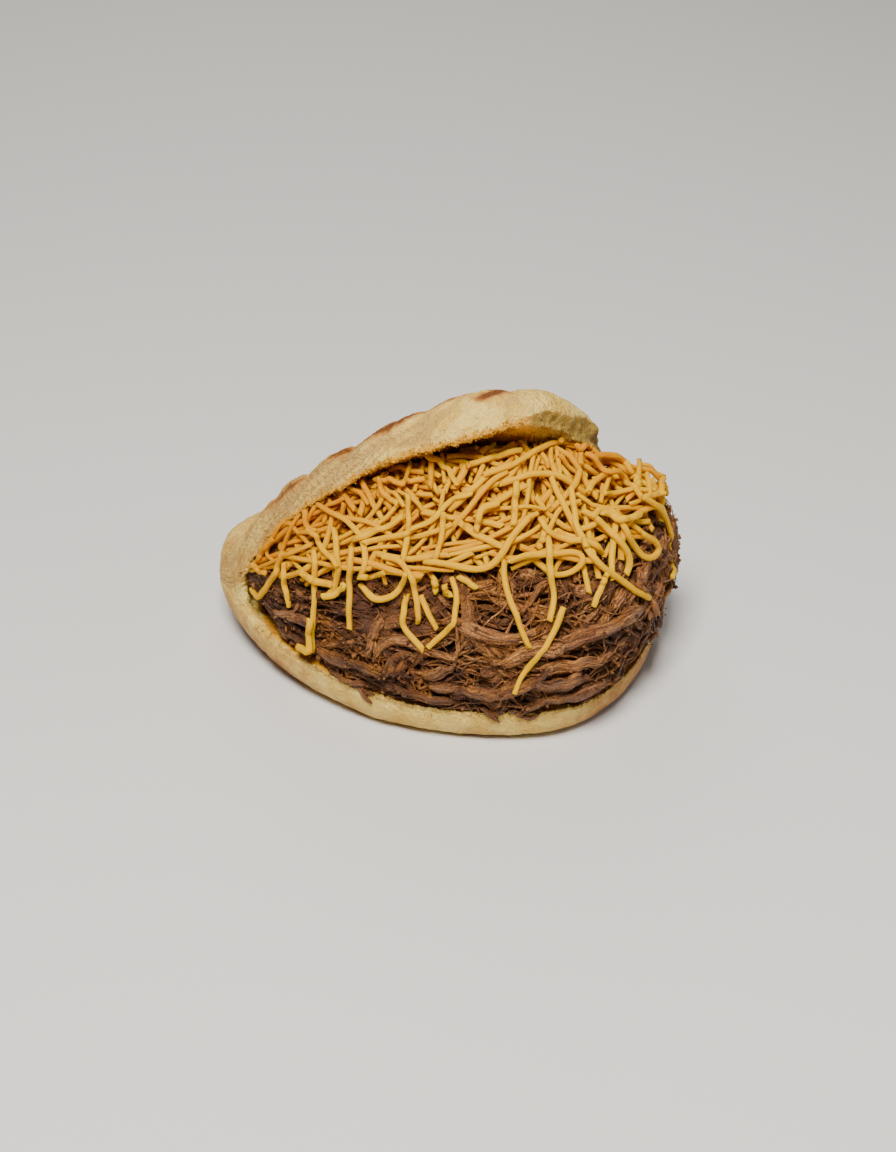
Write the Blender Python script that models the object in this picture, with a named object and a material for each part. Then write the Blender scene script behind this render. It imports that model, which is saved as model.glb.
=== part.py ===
"""Stuffed arepa: a round corn bread, split along its front and folded open like a pocket.

Shredded beef fills the pocket and bulges out of its mouth, with a heap of grated cheese on top.
Units are metres and +Z is up. +X runs along the fold of the bread and -Y points out of the mouth.
The origin lies on the flat underside, below the middle of the bread.
"""
import random

import bmesh
import bpy
import numpy as np
from mathutils import Vector
from mathutils.bvhtree import BVHTree

# ---- The bread: plan outline ----
HALF_LENGTH = 0.0575        # from the middle to either end of the fold
FRONT_REACH = 0.064         # from the middle line to the front edge
BACK_REACH = 0.047          # from the middle line to the back edge
FRONT_POWER = 1.95          # how full the front outline is: 2 is an oval
BACK_POWER = 1.6
SKEW = 0.010                # how far the right end lies forward of the left end, halved
FRONT_LOBES = ((0.0060, 0.020), (0.0025, -0.030))   # extra reach and where along X
LOBE_WIDTH = 0.025

# ---- The bread: thickness and pocket ----
LOWER_THICK = 0.010
UPPER_THICK = 0.011
RIM_DEPTH = 0.009           # how far in from the edge the crust rounds over
RIM_POWER = 2.6             # how square the crust's shoulder is
HINGE_DEPTH = 0.012         # bread left uncut at the back
END_WALL = 0.0003           # bread left uncut at each end of the slot
END_RUN = 0.004             # how quickly the slot deepens from there

# ---- The bread: how the lid folds back ----
LID_ANGLE = np.radians(41.4)
LID_TWIST = np.radians(6.0)     # more fold at the right end than at the left
LID_CUP = np.radians(10.0)      # more fold at both ends than in the middle
LID_ARCH = 0.14                 # share of the fold added along the lid
BEND_LENGTH = 0.026
BEND_PLACE = 0.4                # share of the uncut bread that lies in front of the bend
BEND_STEPS = 24                 # samples of the turn along the lid
TEAR_DEPTH = 0.009              # how far the lid's right front corner is torn back
TEAR_START = 0.034
TEAR_RUN = 0.014
LID_DENTS = ((0.0014, -0.039), (0.0012, -0.026), (0.0009, 0.007))   # depth and where along X
DENT_WIDTH = 0.004
LIFT = 0.0045                   # how far the left end curls up off the surface
LIFT_START = 0.010
LIFT_RUN = 0.045

# ---- The fillings: each core is a lopsided ball, given by its reach each way ----
BEEF = dict(left=0.0545, right=0.0615, left_power=2.0, right_power=2.4, ends_rise=0.003, ridge=0.022,
            front_in=0.0005, back_in=0.020, power=2.35, back_power=1.2, low_power=5.0,
            middle=0.020, top=0.054, bottom=0.0065)
CHEESE = dict(left=0.0540, right=0.0570, left_power=2.0, right_power=1.9, ends_rise=0.002, ridge=0.027,
              front_in=0.0090, back_in=0.042, power=2.0, back_power=1.2, low_power=2.0,
              middle=0.030, top=0.0660, bottom=0.021)
GAP = 0.00045               # kept between bread, beef and cheese
INTO_LID = 0.003            # how far a core may reach into the lid before the lid is cut away from it
BACK_FULLNESS = 4.0         # how evenly the fillings keep clear of the bread's back edge
COVER_END = 0.040           # past this X the fillings stand out beyond the lid's torn corner

# ---- The strands of beef and shreds of cheese that show ----
AXIS_Y = -0.018             # the line inside the fillings that rays to their surface start from
AXIS_Z = 0.024
AXIS_BEND = -0.020          # from here to the left the line leans back
AXIS_LEAN = 0.40
AXIS_END = 0.036            # past this X the rays turn round the right end
END_RADIUS = 0.026
FAR = 0.090                 # rays start this far out
TURN_RADIUS = 0.042         # typical distance from the line to the surface
STRAND_ROWS = (-0.22, -0.02, 0.18, 0.38, 0.58)     # radians above the forward direction
STRAND_STEP = 0.0140        # along a row
STRAND_RADIUS = (0.0015, 0.0025)
STRAND_LENGTH = (0.024, 0.036)
STRAND_SPAN = (-0.050, 0.064)
STRAND_TIP = 0.16           # radians of the sine taper left out at each tip
STRAND_LIFT = 0.35          # share of its radius that a strand's middle stands above the core
SHRED_RADIUS = 0.0013       # corner to middle of the square shred
SHRED_LENGTH = (0.020, 0.032)
SHRED_ROWS = (0.72, 0.92, 1.12, 1.32, 1.52)
SHRED_STEP = 0.0138
SHRED_SPAN = (-0.046, 0.062)
SHRED_LIFT = 0.25           # share of its radius that a shred's middle stands above the core
BUMPS = (0.0, 0.0005, 0.0010, 0.0016)       # tried in turn until a shred clears the beef
HANG_ANGLES = (-0.25, 1.3)  # searched for the ray that meets the beef at a given height
HANG_STEPS = 60
CURL = 0.16                 # most that a strand turns at each step, to one side
WOBBLE = 0.08               # and at random
# Long shreds that hang down over the beef: X and height of each bend, top first
HANGING = (
    ((-0.045, 0.040), (-0.050, 0.027)),
    ((-0.039, 0.045), (-0.041, 0.028), (-0.042, 0.018)),
    ((-0.031, 0.048), (-0.034, 0.030)),
    ((-0.020, 0.051), (-0.023, 0.036), (-0.019, 0.028)),
    ((-0.008, 0.052), (-0.012, 0.038), (-0.018, 0.029)),
    ((0.000, 0.053), (0.002, 0.040), (0.005, 0.031)),
    ((0.013, 0.054), (0.013, 0.038), (0.007, 0.028)),
    ((0.020, 0.054), (0.032, 0.041), (0.038, 0.033)),
)

# ---- How finely the solids are cut into faces ----
BREAD_STATIONS = 33
RIM_POINTS = 5
FLAT_POINTS = 6
SLOT_POINTS = 8
BALL_STATIONS = 21
BALL_SIDES = 24
STRAND_POINTS = 7
SHRED_POINTS = 7

SLOT_SHARES = np.linspace(0.0, 1.0, SLOT_POINTS + 2)[1:-1][None]

BREAD_COLOUR = (0.76, 0.66, 0.40, 1.0)
BEEF_COLOUR = (0.20, 0.085, 0.045, 1.0)
CHEESE_COLOUR = (0.90, 0.48, 0.06, 1.0)


def smooth(t):
    """Rises from 0 to 1, level at both ends."""
    t = np.clip(t, 0.0, 1.0)
    return t * t * (3.0 - 2.0 * t)


def swell(w, power):
    """Half an oval: 1 in the middle, 0 at w = -1 and w = 1."""
    return np.maximum(1.0 - np.abs(w) ** power, 0.0) ** (1.0 / power)


def front_edge(x):
    """Y of the bread's front edge before the lid folds back."""
    w = x / HALF_LENGTH
    lobes = sum(depth * np.exp(-(((x - place) / LOBE_WIDTH) ** 2)) for depth, place in FRONT_LOBES)
    return -(FRONT_REACH + lobes) * swell(w, FRONT_POWER) - SKEW * w


def back_edge(x):
    """Y of the bread's back edge."""
    w = x / HALF_LENGTH
    return BACK_REACH * swell(w, BACK_POWER) - SKEW * w


def lid_edge(x):
    """Y of the lid's front edge before it folds: the right corner is torn back."""
    torn = TEAR_DEPTH * smooth((x - TEAR_START) / TEAR_RUN) * swell(x / HALF_LENGTH, FRONT_POWER)
    return np.minimum(front_edge(x) + torn, back_edge(x))


def lift(x):
    """How far the left end curls up."""
    return LIFT * np.clip((-x - LIFT_START) / LIFT_RUN, 0.0, 1.0) ** 2


def fold_lid(x, y, rise):
    """Y and Z of a lid point that lay at (x, y), `rise` above the cut, once the lid is folded.

    The turn grows smoothly over the bend and then a little more along the lid. The middle line's
    place is the length so far times the mean of the turn's cosine and of its sine.
    """
    w = x / HALF_LENGTH
    angle = LID_ANGLE + LID_TWIST * w + LID_CUP * w ** 2
    hinge = np.maximum(back_edge(x) - BEND_PLACE * HINGE_DEPTH, front_edge(x))
    full = np.maximum(hinge - front_edge(x), 1e-6)
    reach = np.maximum(hinge - y, 0.0)
    share = (np.arange(BEND_STEPS) + 0.5) / BEND_STEPS
    along = reach[..., None] * share
    turns = angle[..., None] * smooth(along / BEND_LENGTH) * (1.0 + LID_ARCH * along / full[..., None])
    turn = angle * smooth(reach / BEND_LENGTH) * (1.0 + LID_ARCH * reach / full)
    behind = np.maximum(y - hinge, 0.0)
    folded_y = hinge + behind - reach * np.cos(turns).mean(axis=-1) + rise * np.sin(turn)
    folded_z = LOWER_THICK + reach * np.sin(turns).mean(axis=-1) + rise * np.cos(turn)
    return folded_y, folded_z


def dents(x):
    """The shallow dents across the lid, as a share of its thickness taken away."""
    return sum(depth * np.exp(-(((x - place) / DENT_WIDTH) ** 2)) for depth, place in LID_DENTS)


def crust(front, back, thick, count):
    """The outline of one half of the bread from its front edge round the outside to its back edge.

    Each shoulder is a quarter of a squarish oval. Gives Y and the distance from the cut.
    """
    rim = np.minimum(RIM_DEPTH, 0.4995 * (back - front))
    a = np.linspace(0.0, np.pi / 2, count)[None]
    inward = 1.0 - np.cos(a) ** (2.0 / RIM_POWER)
    outward = np.sin(a) ** (2.0 / RIM_POWER)
    t = np.linspace(0.0, 1.0, FLAT_POINTS + 2)[1:-1][None]
    y = np.hstack([front + rim * inward, front + rim + (back - front - 2 * rim) * t,
                   (back - rim * inward)[:, ::-1]])
    away = np.hstack([thick * outward, thick + 0.0 * t, (thick * outward)[:, ::-1]])
    return y, away


def stations(count, half):
    """Places along the fold, closer together at both ends, as a column."""
    return (-half * np.cos(np.linspace(0.0, np.pi, count)))[:, None]


def end_thin(x, half):
    """How the thickness runs out at the ends: 1 over most of the length, 0 at the tips."""
    d = np.clip((half - np.abs(x)) / RIM_DEPTH, 0.0, 1.0)
    return (1.0 - (1.0 - d) ** RIM_POWER) ** (1.0 / RIM_POWER)


def ring_points(x, pieces):
    """Joins (Y, Z) pieces into closed rings, one for each station."""
    y = np.hstack([piece[0] for piece in pieces])
    z = np.hstack([piece[1] for piece in pieces])
    wide_x = np.repeat(x, y.shape[1], axis=1)
    return np.stack([wide_x, y, z + lift(wide_x)], axis=-1)


def slot_root(x):
    """Y where the slot ends at the back: it closes towards both ends of the fold."""
    open_share = smooth((HALF_LENGTH - np.abs(x) - END_WALL) / END_RUN)
    front, back = front_edge(x), back_edge(x)
    return np.maximum(front + (back - HINGE_DEPTH - front) * open_share, lid_edge(x))


def bread_rings():
    """The split bread's sections: lower half, folded lid and the slot between them in one ring."""
    x = stations(BREAD_STATIONS, HALF_LENGTH)
    front, back, lid_front, root = front_edge(x), back_edge(x), lid_edge(x), slot_root(x)
    thin = end_thin(x, HALF_LENGTH)
    low_y, low_away = crust(front, back, LOWER_THICK * thin, RIM_POINTS)
    up_y, up_away = crust(lid_front, back, (UPPER_THICK - dents(x)) * thin, RIM_POINTS)
    lid_out = fold_lid(x + 0.0 * up_y, up_y[:, ::-1], up_away[:, ::-1])
    slot_y = lid_front + (root - lid_front) * SLOT_SHARES
    lid_in = fold_lid(x + 0.0 * slot_y, slot_y, 0.0 * slot_y)
    floor_y = (front + (root - front) * SLOT_SHARES)[:, ::-1]
    pieces = [(low_y, LOWER_THICK - low_away),
              (lid_out[0][:, 1:], lid_out[1][:, 1:]),
              lid_in,
              (root, LOWER_THICK + 0.0 * root),
              (floor_y, LOWER_THICK + 0.0 * floor_y)]
    return ring_points(x, pieces)


def under_lid(x, y, z):
    """Heights of a filling's section points, lowered to inside the lid where they would come out of it."""
    slot_y = lid_edge(x) + (slot_root(x) - lid_edge(x)) * np.linspace(0.0, 1.0, SLOT_POINTS)[None]
    lid_y, lid_z = fold_lid(x + 0.0 * slot_y, slot_y, 0.0 * slot_y)
    lowered = z.copy()
    for row in np.nonzero((x[:, 0] > END_RUN - HALF_LENGTH) & (x[:, 0] < COVER_END))[0]:
        ceiling = np.interp(y[row], lid_y[row], lid_z[row])
        covered = y[row] > lid_y[row, 0]
        lowered[row] = np.where(covered, np.minimum(z[row], ceiling + INTO_LID), z[row])
    return lowered


def ball_rings(size, grow=0.0):
    """A filling's core: each section is four quarter ovals about the ridge line."""
    w = -np.cos(np.linspace(0.0, np.pi, BALL_STATIONS))[:, None]
    x = np.where(w < 0.0, size["left"] + grow, size["right"] + grow) * w
    full = swell(w, np.where(w < 0.0, size["left_power"], size["right_power"]))
    edge_x = w * HALF_LENGTH
    front = front_edge(edge_x) + (size["front_in"] - grow) * full
    ridge = -size["ridge"] * full - SKEW * w
    inset = size["back_in"] * swell(w, BACK_FULLNESS)
    back = np.maximum(back_edge(edge_x) - inset, ridge) + grow * full
    a = np.linspace(0.0, 2 * np.pi, BALL_SIDES, endpoint=False)[None]
    upper = np.where(np.cos(a) > 0.0, size["power"], size["back_power"])
    power = np.where(np.sin(a) > 0.0, upper, size["low_power"])
    across = np.abs(np.cos(a)) ** (2.0 / power)
    upward = np.sign(np.sin(a)) * np.abs(np.sin(a)) ** (2.0 / power)
    y = np.where(np.cos(a) > 0.0, ridge - (ridge - front) * across, ridge + (back - ridge) * across)
    above = size["top"] - size["middle"] + grow
    below = size["middle"] - size["bottom"] + grow
    middle = size["middle"] + size["ends_rise"] * w
    z = middle + np.where(upward > 0.0, above, below) * upward * full
    return ring_points(x, [(y, under_lid(x, y, z))])


def loft(name, rings):
    """A closed solid through the rings. Its first and last ring are each one point."""
    count, sides, _ = rings.shape
    verts = rings.reshape(-1, 3)
    i, j = np.meshgrid(np.arange(count - 1), np.arange(sides), indexing="ij")
    k = (j + 1) % sides
    quads = np.stack([i * sides + j, i * sides + k, (i + 1) * sides + k, (i + 1) * sides + j], axis=-1)
    mesh = bpy.data.meshes.new(name)
    mesh.from_pydata(verts.tolist(), [], quads.reshape(-1, 4).tolist())
    obj = bpy.data.objects.new(name, mesh)
    tidy(obj, 1e-5)
    return obj


def tidy(obj, merge):
    """Merges points that coincide, drops flat slivers and turns the faces outward."""
    bm = bmesh.new()
    bm.from_mesh(obj.data)
    bmesh.ops.remove_doubles(bm, verts=bm.verts, dist=merge)
    bmesh.ops.dissolve_degenerate(bm, edges=bm.edges, dist=1e-6)
    bmesh.ops.triangulate(bm, faces=bm.faces)
    bmesh.ops.recalc_face_normals(bm, faces=bm.faces)
    bm.to_mesh(obj.data)
    bm.free()


def grown(obj, distance):
    """A copy of a solid with every point moved out along its normal, to cut the fillings with."""
    mesh = obj.data.copy()
    normals = [vertex.normal.copy() for vertex in mesh.vertices]
    for vertex, normal in zip(mesh.vertices, normals):
        vertex.co += normal * distance
    return bpy.data.objects.new("grown", mesh)


def bodies(bm):
    """The separate bodies of a mesh, each as a list of faces."""
    left = set(bm.faces)
    while left:
        seed = left.pop()
        found, edge_of_search = [seed], [seed]
        while edge_of_search:
            face = edge_of_search.pop()
            for edge in face.edges:
                for other in edge.link_faces:
                    if other in left:
                        left.discard(other)
                        found.append(other)
                        edge_of_search.append(other)
        yield found


def volume(faces):
    """Volume that triangles enclose, negative for the wall of a sealed hollow."""
    return sum(f.verts[0].co.dot(f.verts[1].co.cross(f.verts[2].co)) for f in faces) / 6.0


def keep_largest(obj):
    """Drops loose scraps and fills sealed hollows."""
    bm = bmesh.new()
    bm.from_mesh(obj.data)
    bmesh.ops.triangulate(bm, faces=bm.faces)
    parts = sorted(bodies(bm), key=volume)
    loose = [face for part in parts[:-1] for face in part]
    bmesh.ops.delete(bm, geom=loose, context="FACES")
    bm.to_mesh(obj.data)
    bm.free()


def apply_boolean(obj, operation, pieces, solver):
    """Cuts or joins obj with the pieces, which are then removed."""
    scene = bpy.context.scene.collection
    group = bpy.data.collections.new("pieces")
    scene.children.link(group)
    for piece in pieces:
        group.objects.link(piece)
    scene.objects.link(obj)
    modifier = obj.modifiers.new("Boolean", "BOOLEAN")
    modifier.operation = operation
    modifier.operand_type = "COLLECTION"
    modifier.collection = group
    modifier.solver = solver
    modifier.use_self = solver == "EXACT"
    graph = bpy.context.evaluated_depsgraph_get()
    mesh = bpy.data.meshes.new_from_object(obj.evaluated_get(graph))
    obj.modifiers.clear()
    obj.data = mesh
    scene.objects.unlink(obj)
    for piece in pieces:
        bpy.data.objects.remove(piece)
    bpy.data.collections.remove(group)
    tidy(obj, 1e-6)
    keep_largest(obj)


def tree_of(obj):
    """A search tree over a mesh's triangles."""
    mesh = obj.data
    return BVHTree.FromPolygons([v.co for v in mesh.vertices], [p.vertices[:] for p in mesh.polygons])


def ray_to(place, angle):
    """Start and direction of a ray from inside the fillings, past their right end too."""
    round_end = max(place - AXIS_END, 0.0) / END_RADIUS
    lean = AXIS_LEAN * max(AXIS_BEND - place, 0.0)
    start = Vector((min(place, AXIS_END), AXIS_Y + lean, AXIS_Z))
    across = np.cos(round_end)
    return start, Vector((np.sin(round_end), -across * np.cos(angle), across * np.sin(angle)))


def outermost(trees, place, angle):
    """How far out along its ray each tree is met, 0 where it is missed."""
    start, direction = ray_to(place, angle)
    far = start + direction * FAR
    found = []
    for tree in trees:
        hit = tree.ray_cast(far, -direction, FAR)
        found.append(0.0 if hit[0] is None else (hit[0] - start).length)
    return found


def ribbon(name, points, radii, resolution):
    """A strand: a poly curve with a round or square bevel, turned into a closed mesh."""
    curve = bpy.data.curves.new(name, "CURVE")
    curve.dimensions = "3D"
    curve.bevel_depth = 1.0
    curve.bevel_resolution = resolution
    curve.use_fill_caps = True
    spline = curve.splines.new("POLY")
    spline.points.add(len(points) - 1)
    for knot, point, radius in zip(spline.points, points, radii):
        knot.co = (*point, 1.0)
        knot.radius = radius
    holder = bpy.data.objects.new(name, curve)
    bpy.context.scene.collection.objects.link(holder)
    graph = bpy.context.evaluated_depsgraph_get()
    mesh = bpy.data.meshes.new_from_object(holder.evaluated_get(graph))
    strand = bpy.data.objects.new(name, mesh)
    bpy.data.objects.remove(holder)
    bpy.data.curves.remove(curve)
    tidy(strand, 1e-5)
    return strand


def soften(values, floor):
    """Evens out a row of heights without letting any fall below its floor."""
    for _ in range(3):
        inner = (values[:-2] + 2 * values[1:-1] + values[2:]) / 4
        values = np.concatenate([values[:1], inner, values[-1:]])
        values = np.maximum(values, floor)
    return values


def crosses(strand, trees):
    """True where a strand meets any of the trees."""
    own = tree_of(strand)
    return any(own.overlap(tree) for tree in trees)


def wander(rng, place, angle, heading, length, count):
    """A path over the fillings as (place, angle) pairs, curving gently to one side."""
    step = length / count
    curl = rng.uniform(-CURL, CURL)
    path = []
    for _ in range(count + 1):
        path.append((place, angle))
        place += step * np.cos(heading)
        angle += step * np.sin(heading) / TURN_RADIUS
        heading += curl + rng.uniform(-WOBBLE, WOBBLE)
    return path


def beef_strands(rng, core, walls):
    """Pulled strands lying along the front of the beef, half sunk in it."""
    surface = tree_of(core)
    strands = []
    for row, angle in enumerate(STRAND_ROWS):
        offset = STRAND_STEP * (0.5 if row % 2 else 0.0)
        for place in np.arange(STRAND_SPAN[0] + offset, STRAND_SPAN[1], STRAND_STEP):
            radius = rng.uniform(*STRAND_RADIUS)
            heading = rng.choice((0.0, np.pi)) + rng.uniform(-0.45, 0.45)
            length = rng.uniform(*STRAND_LENGTH)
            start = place - 0.5 * length * np.cos(heading) + rng.uniform(-0.002, 0.002)
            path = wander(rng, start, angle + rng.uniform(-0.09, 0.09), heading, length, STRAND_POINTS - 1)
            strand = lay_strand("strand", path, radius, surface, walls)
            if strand:
                strands.append(strand)
    return strands


def lay_strand(name, path, radius, surface, walls):
    """One strand along a path, thin at its tips and shortened until it clears the bread."""
    while len(path) >= 5:
        reach = [outermost([surface], place, angle)[0] for place, angle in path]
        if min(reach) > 0.0:
            heights = np.array(reach) + STRAND_LIFT * radius
            heights = soften(heights, np.array(reach))
            points = [ray_to(p, a)[0] + ray_to(p, a)[1] * h for (p, a), h in zip(path, heights)]
            taper = np.sin(np.linspace(STRAND_TIP, np.pi - STRAND_TIP, len(points))) ** 0.5
            strand = ribbon(name, points, radius * taper, 0)
            if not crosses(strand, walls):
                return strand
            bpy.data.objects.remove(strand)
        path = path[1:-1]
    return None


def lay_shred(name, path, beef, cheese, walls):
    """One shred of cheese: sunk into the cheese core, clear of the beef, shortened to fit."""
    while len(path) >= 4:
        met = [outermost([beef, cheese], place, angle) for place, angle in path]
        over_beef = np.array([b + SHRED_RADIUS + 2 * GAP if b else 0.0 for b, _ in met])
        over_cheese = np.array([c + SHRED_LIFT * SHRED_RADIUS if c else 0.0 for _, c in met])
        floor = np.maximum(over_beef, over_cheese)
        if floor.min() > 0.0:
            for extra in BUMPS:
                heights = soften(floor + extra * (over_beef > over_cheese), floor)
                points = [ray_to(p, a)[0] + ray_to(p, a)[1] * h for (p, a), h in zip(path, heights)]
                shred = ribbon(name, points, [SHRED_RADIUS] * len(points), 0)
                if not crosses(shred, walls):
                    return shred
                bpy.data.objects.remove(shred)
        path = path[:-1]
    return None


def along(bends, count):
    """Evenly spread (x, height) points along a hanging shred's bends."""
    bends = np.array(bends)
    run = np.concatenate([[0.0], np.cumsum(np.linalg.norm(np.diff(bends, axis=0), axis=1))])
    t = np.linspace(0.0, run[-1], count)
    return np.stack([np.interp(t, run, bends[:, 0]), np.interp(t, run, bends[:, 1])], axis=-1)


def hanging_path(bends, beef):
    """The (place, angle) pairs whose rays meet the beef at the given X and height."""
    path = []
    for x, height in along(bends, SHRED_POINTS):
        angles = np.linspace(*HANG_ANGLES, HANG_STEPS)
        reach = np.array([outermost([beef], x, a)[0] for a in angles])
        heights = AXIS_Z + reach * np.sin(angles)
        path.append((x, angles[np.argmin(np.abs(heights - height))]))
    return path


def cheese_shreds(rng, core, beef, walls):
    """The shreds over the cheese core, and the long ones that hang over the beef."""
    cheese = tree_of(core)
    shreds = []
    for bends in HANGING:
        shred = lay_shred("hanging", hanging_path(bends, beef), beef, cheese, walls)
        if shred:
            shreds.append(shred)
    for row, angle in enumerate(SHRED_ROWS):
        offset = SHRED_STEP * (0.5 if row % 2 else 0.0)
        for place in np.arange(SHRED_SPAN[0] + offset, SHRED_SPAN[1], SHRED_STEP):
            heading = rng.uniform(0.0, 2 * np.pi)
            length = rng.uniform(*SHRED_LENGTH)
            start = place - 0.5 * length * np.cos(heading)
            lean = angle - 0.5 * length * np.sin(heading) / TURN_RADIUS
            path = wander(rng, start, lean, heading, length, SHRED_POINTS - 1)
            shred = lay_shred("shred", path, beef, cheese, walls)
            if shred:
                shreds.append(shred)
    return shreds


def finish(obj, colour, roughness, home):
    """Gives a solid its material, flat shading and place in the collection."""
    material = bpy.data.materials.new(obj.name)
    material.use_nodes = True
    shader = material.node_tree.nodes["Principled BSDF"]
    shader.inputs["Base Color"].default_value = colour
    shader.inputs["Roughness"].default_value = roughness
    shader.inputs["Metallic"].default_value = 0.0
    obj.data.materials.clear()
    obj.data.materials.append(material)
    home.objects.link(obj)


def main():
    for obj in list(bpy.data.objects):
        bpy.data.objects.remove(obj)
    home = bpy.data.collections.new("stuffed_arepa")
    bpy.context.scene.collection.children.link(home)

    bread = loft("arepa_bread", bread_rings())
    wall = grown(bread, GAP / 2)
    walls = [tree_of(wall)]

    beef = loft("shredded_beef", ball_rings(BEEF))
    apply_boolean(beef, "DIFFERENCE", [grown(bread, GAP)], "EXACT")
    cheese = loft("shredded_cheese", ball_rings(CHEESE))
    apply_boolean(cheese, "DIFFERENCE", [grown(bread, GAP), loft("cut", ball_rings(BEEF, GAP))], "EXACT")
    bare_cheese = tree_of(cheese)

    rng = random.Random(11)
    apply_boolean(beef, "UNION", beef_strands(rng, beef, walls + [bare_cheese]), "MANIFOLD")
    beef_tree = tree_of(beef)
    shreds = cheese_shreds(rng, cheese, beef_tree, walls + [beef_tree])
    apply_boolean(cheese, "UNION", shreds, "MANIFOLD")

    finish(bread, BREAD_COLOUR, 0.75, home)
    finish(beef, BEEF_COLOUR, 0.45, home)
    finish(cheese, CHEESE_COLOUR, 0.40, home)
    for spare in [obj for obj in bpy.data.objects if not obj.users_collection]:
        bpy.data.objects.remove(spare)


main()
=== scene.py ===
"""Stuffed arepa: a split corn bread with pulled beef and grated cheese, dressed over its solids.

The bread is one closed surface with crumb, creases and toasted patches. The fillings are heaps:
each strand or shred is laid in turn over what is already there, and rests on it.
Lengths are metres. X runs along the fold of the bread, -Y out of its mouth, Z up.
"""

import bmesh
import bpy
import numpy as np
from bpy.props import FloatProperty, FloatVectorProperty, IntProperty, PointerProperty
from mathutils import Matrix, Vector
from mathutils.bvhtree import BVHTree


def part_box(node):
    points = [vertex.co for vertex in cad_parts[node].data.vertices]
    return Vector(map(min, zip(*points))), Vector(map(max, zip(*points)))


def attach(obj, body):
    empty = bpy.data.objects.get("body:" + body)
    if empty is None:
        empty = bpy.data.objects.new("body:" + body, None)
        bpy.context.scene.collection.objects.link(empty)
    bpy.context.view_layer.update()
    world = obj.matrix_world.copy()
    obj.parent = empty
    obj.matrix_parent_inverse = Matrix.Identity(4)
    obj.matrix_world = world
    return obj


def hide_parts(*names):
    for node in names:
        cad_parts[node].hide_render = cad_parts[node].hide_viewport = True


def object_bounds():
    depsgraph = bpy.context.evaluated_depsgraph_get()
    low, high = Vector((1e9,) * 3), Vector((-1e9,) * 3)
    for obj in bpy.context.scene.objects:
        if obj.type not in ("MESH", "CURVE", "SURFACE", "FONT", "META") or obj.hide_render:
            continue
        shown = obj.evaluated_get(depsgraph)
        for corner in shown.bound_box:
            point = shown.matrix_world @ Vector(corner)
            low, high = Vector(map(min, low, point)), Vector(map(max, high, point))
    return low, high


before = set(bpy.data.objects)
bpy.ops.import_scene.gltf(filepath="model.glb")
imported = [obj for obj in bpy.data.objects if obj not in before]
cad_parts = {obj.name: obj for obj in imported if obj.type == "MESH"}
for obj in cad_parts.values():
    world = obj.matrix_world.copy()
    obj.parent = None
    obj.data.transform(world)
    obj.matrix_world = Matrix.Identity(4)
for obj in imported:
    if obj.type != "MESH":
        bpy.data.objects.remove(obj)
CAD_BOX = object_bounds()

bl_info = {
    "name": "Stuffed arepa",
    "version": (1, 0, 0),
    "blender": (4, 5, 0),
    "location": "3D View > Sidebar > Arepa",
    "description": "Builds a corn bread filled with pulled beef and grated cheese",
    "category": "Add Mesh",
}

MM = 0.001
EDGE_ROOM = 0.05 * MM
CRUMB_SEED, BEEF_SEED, CHEESE_SEED = 11, 23, 7
TIP_STAND = 0.105  # how far a tube's end stands out, as a share of its last step

# ---- The bread: plan, thickness, pocket and fold, as in the solid ----
HALF_LENGTH = 57.5 * MM
FRONT_REACH = 64.0 * MM
BACK_REACH = 47.0 * MM
FRONT_POWER = 1.95
BACK_POWER = 1.6
SKEW = 10.0 * MM
FRONT_LOBES = ((6.0 * MM, 20.0 * MM), (2.5 * MM, -30.0 * MM))
LOBE_WIDTH = 25.0 * MM
LOWER_THICK = 10.0 * MM
UPPER_THICK = 11.0 * MM
RIM_DEPTH = 9.0 * MM
RIM_POWER = 2.6
HINGE_DEPTH = 12.0 * MM
END_WALL = 0.3 * MM
END_RUN = 4.0 * MM
LID_ANGLE = np.radians(41.4)
LID_TWIST = np.radians(6.0)
LID_CUP = np.radians(10.0)
LID_ARCH = 0.14
BEND_LENGTH = 26.0 * MM
BEND_PLACE = 0.4
BEND_STEPS = 24
TEAR_DEPTH = 9.0 * MM
TEAR_START = 34.0 * MM
TEAR_RUN = 14.0 * MM
LIFT = 4.5 * MM
LIFT_START = 10.0 * MM
LIFT_RUN = 45.0 * MM

# ---- The bread's surface ----
STATIONS = 330
FRONT_RIM_ROWS = 46
BACK_RIM_ROWS = 10
FLAT_ROWS = 30
SLOT_ROWS = 34
LEFT_RUN = 11.0 * MM  # how gradually the pocket closes at its left end
CORNER_START = 35.8 * MM  # the lid's right corner is torn off past here
CORNER_RUN = 2.5 * MM
CORNER_DEPTH = 6.5 * MM
EDGE_WAVES = ((0.8 * MM, 7.0 * MM), (0.6 * MM, 2.6 * MM), (0.4 * MM, 1.1 * MM))  # depth and size
LID_EDGE_IN = 0.6 * MM  # how far back from the outline the ragged edges lie
LOW_EDGE_IN = 0.3 * MM
LOW_EDGE_ROUND = (1.6 * MM, 2.2 * MM)  # how far down the base's edge is rounded, and how far in
EDGE_OPENS = 6.0 * MM  # the cut edges are ragged where the slot is deeper than this
BARE_BAND = 0.07  # the share of the lid's wall that is bare crumb at the left
TORN_BAND = 0.22  # and how much more of it further right
CREASES = (  # X at the top of the lid's wall, how far it slants to the left, width, depth
    (-37.6 * MM, 10.0 * MM, 1.1 * MM, 1.7 * MM),
    (-26.4 * MM, 12.0 * MM, 1.2 * MM, 1.5 * MM),
    (-45.0 * MM, 6.0 * MM, 0.8 * MM, 0.8 * MM),
    (-9.0 * MM, 9.0 * MM, 1.0 * MM, 0.6 * MM),
    (11.5 * MM, 3.0 * MM, 1.1 * MM, 0.7 * MM),
)
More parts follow.
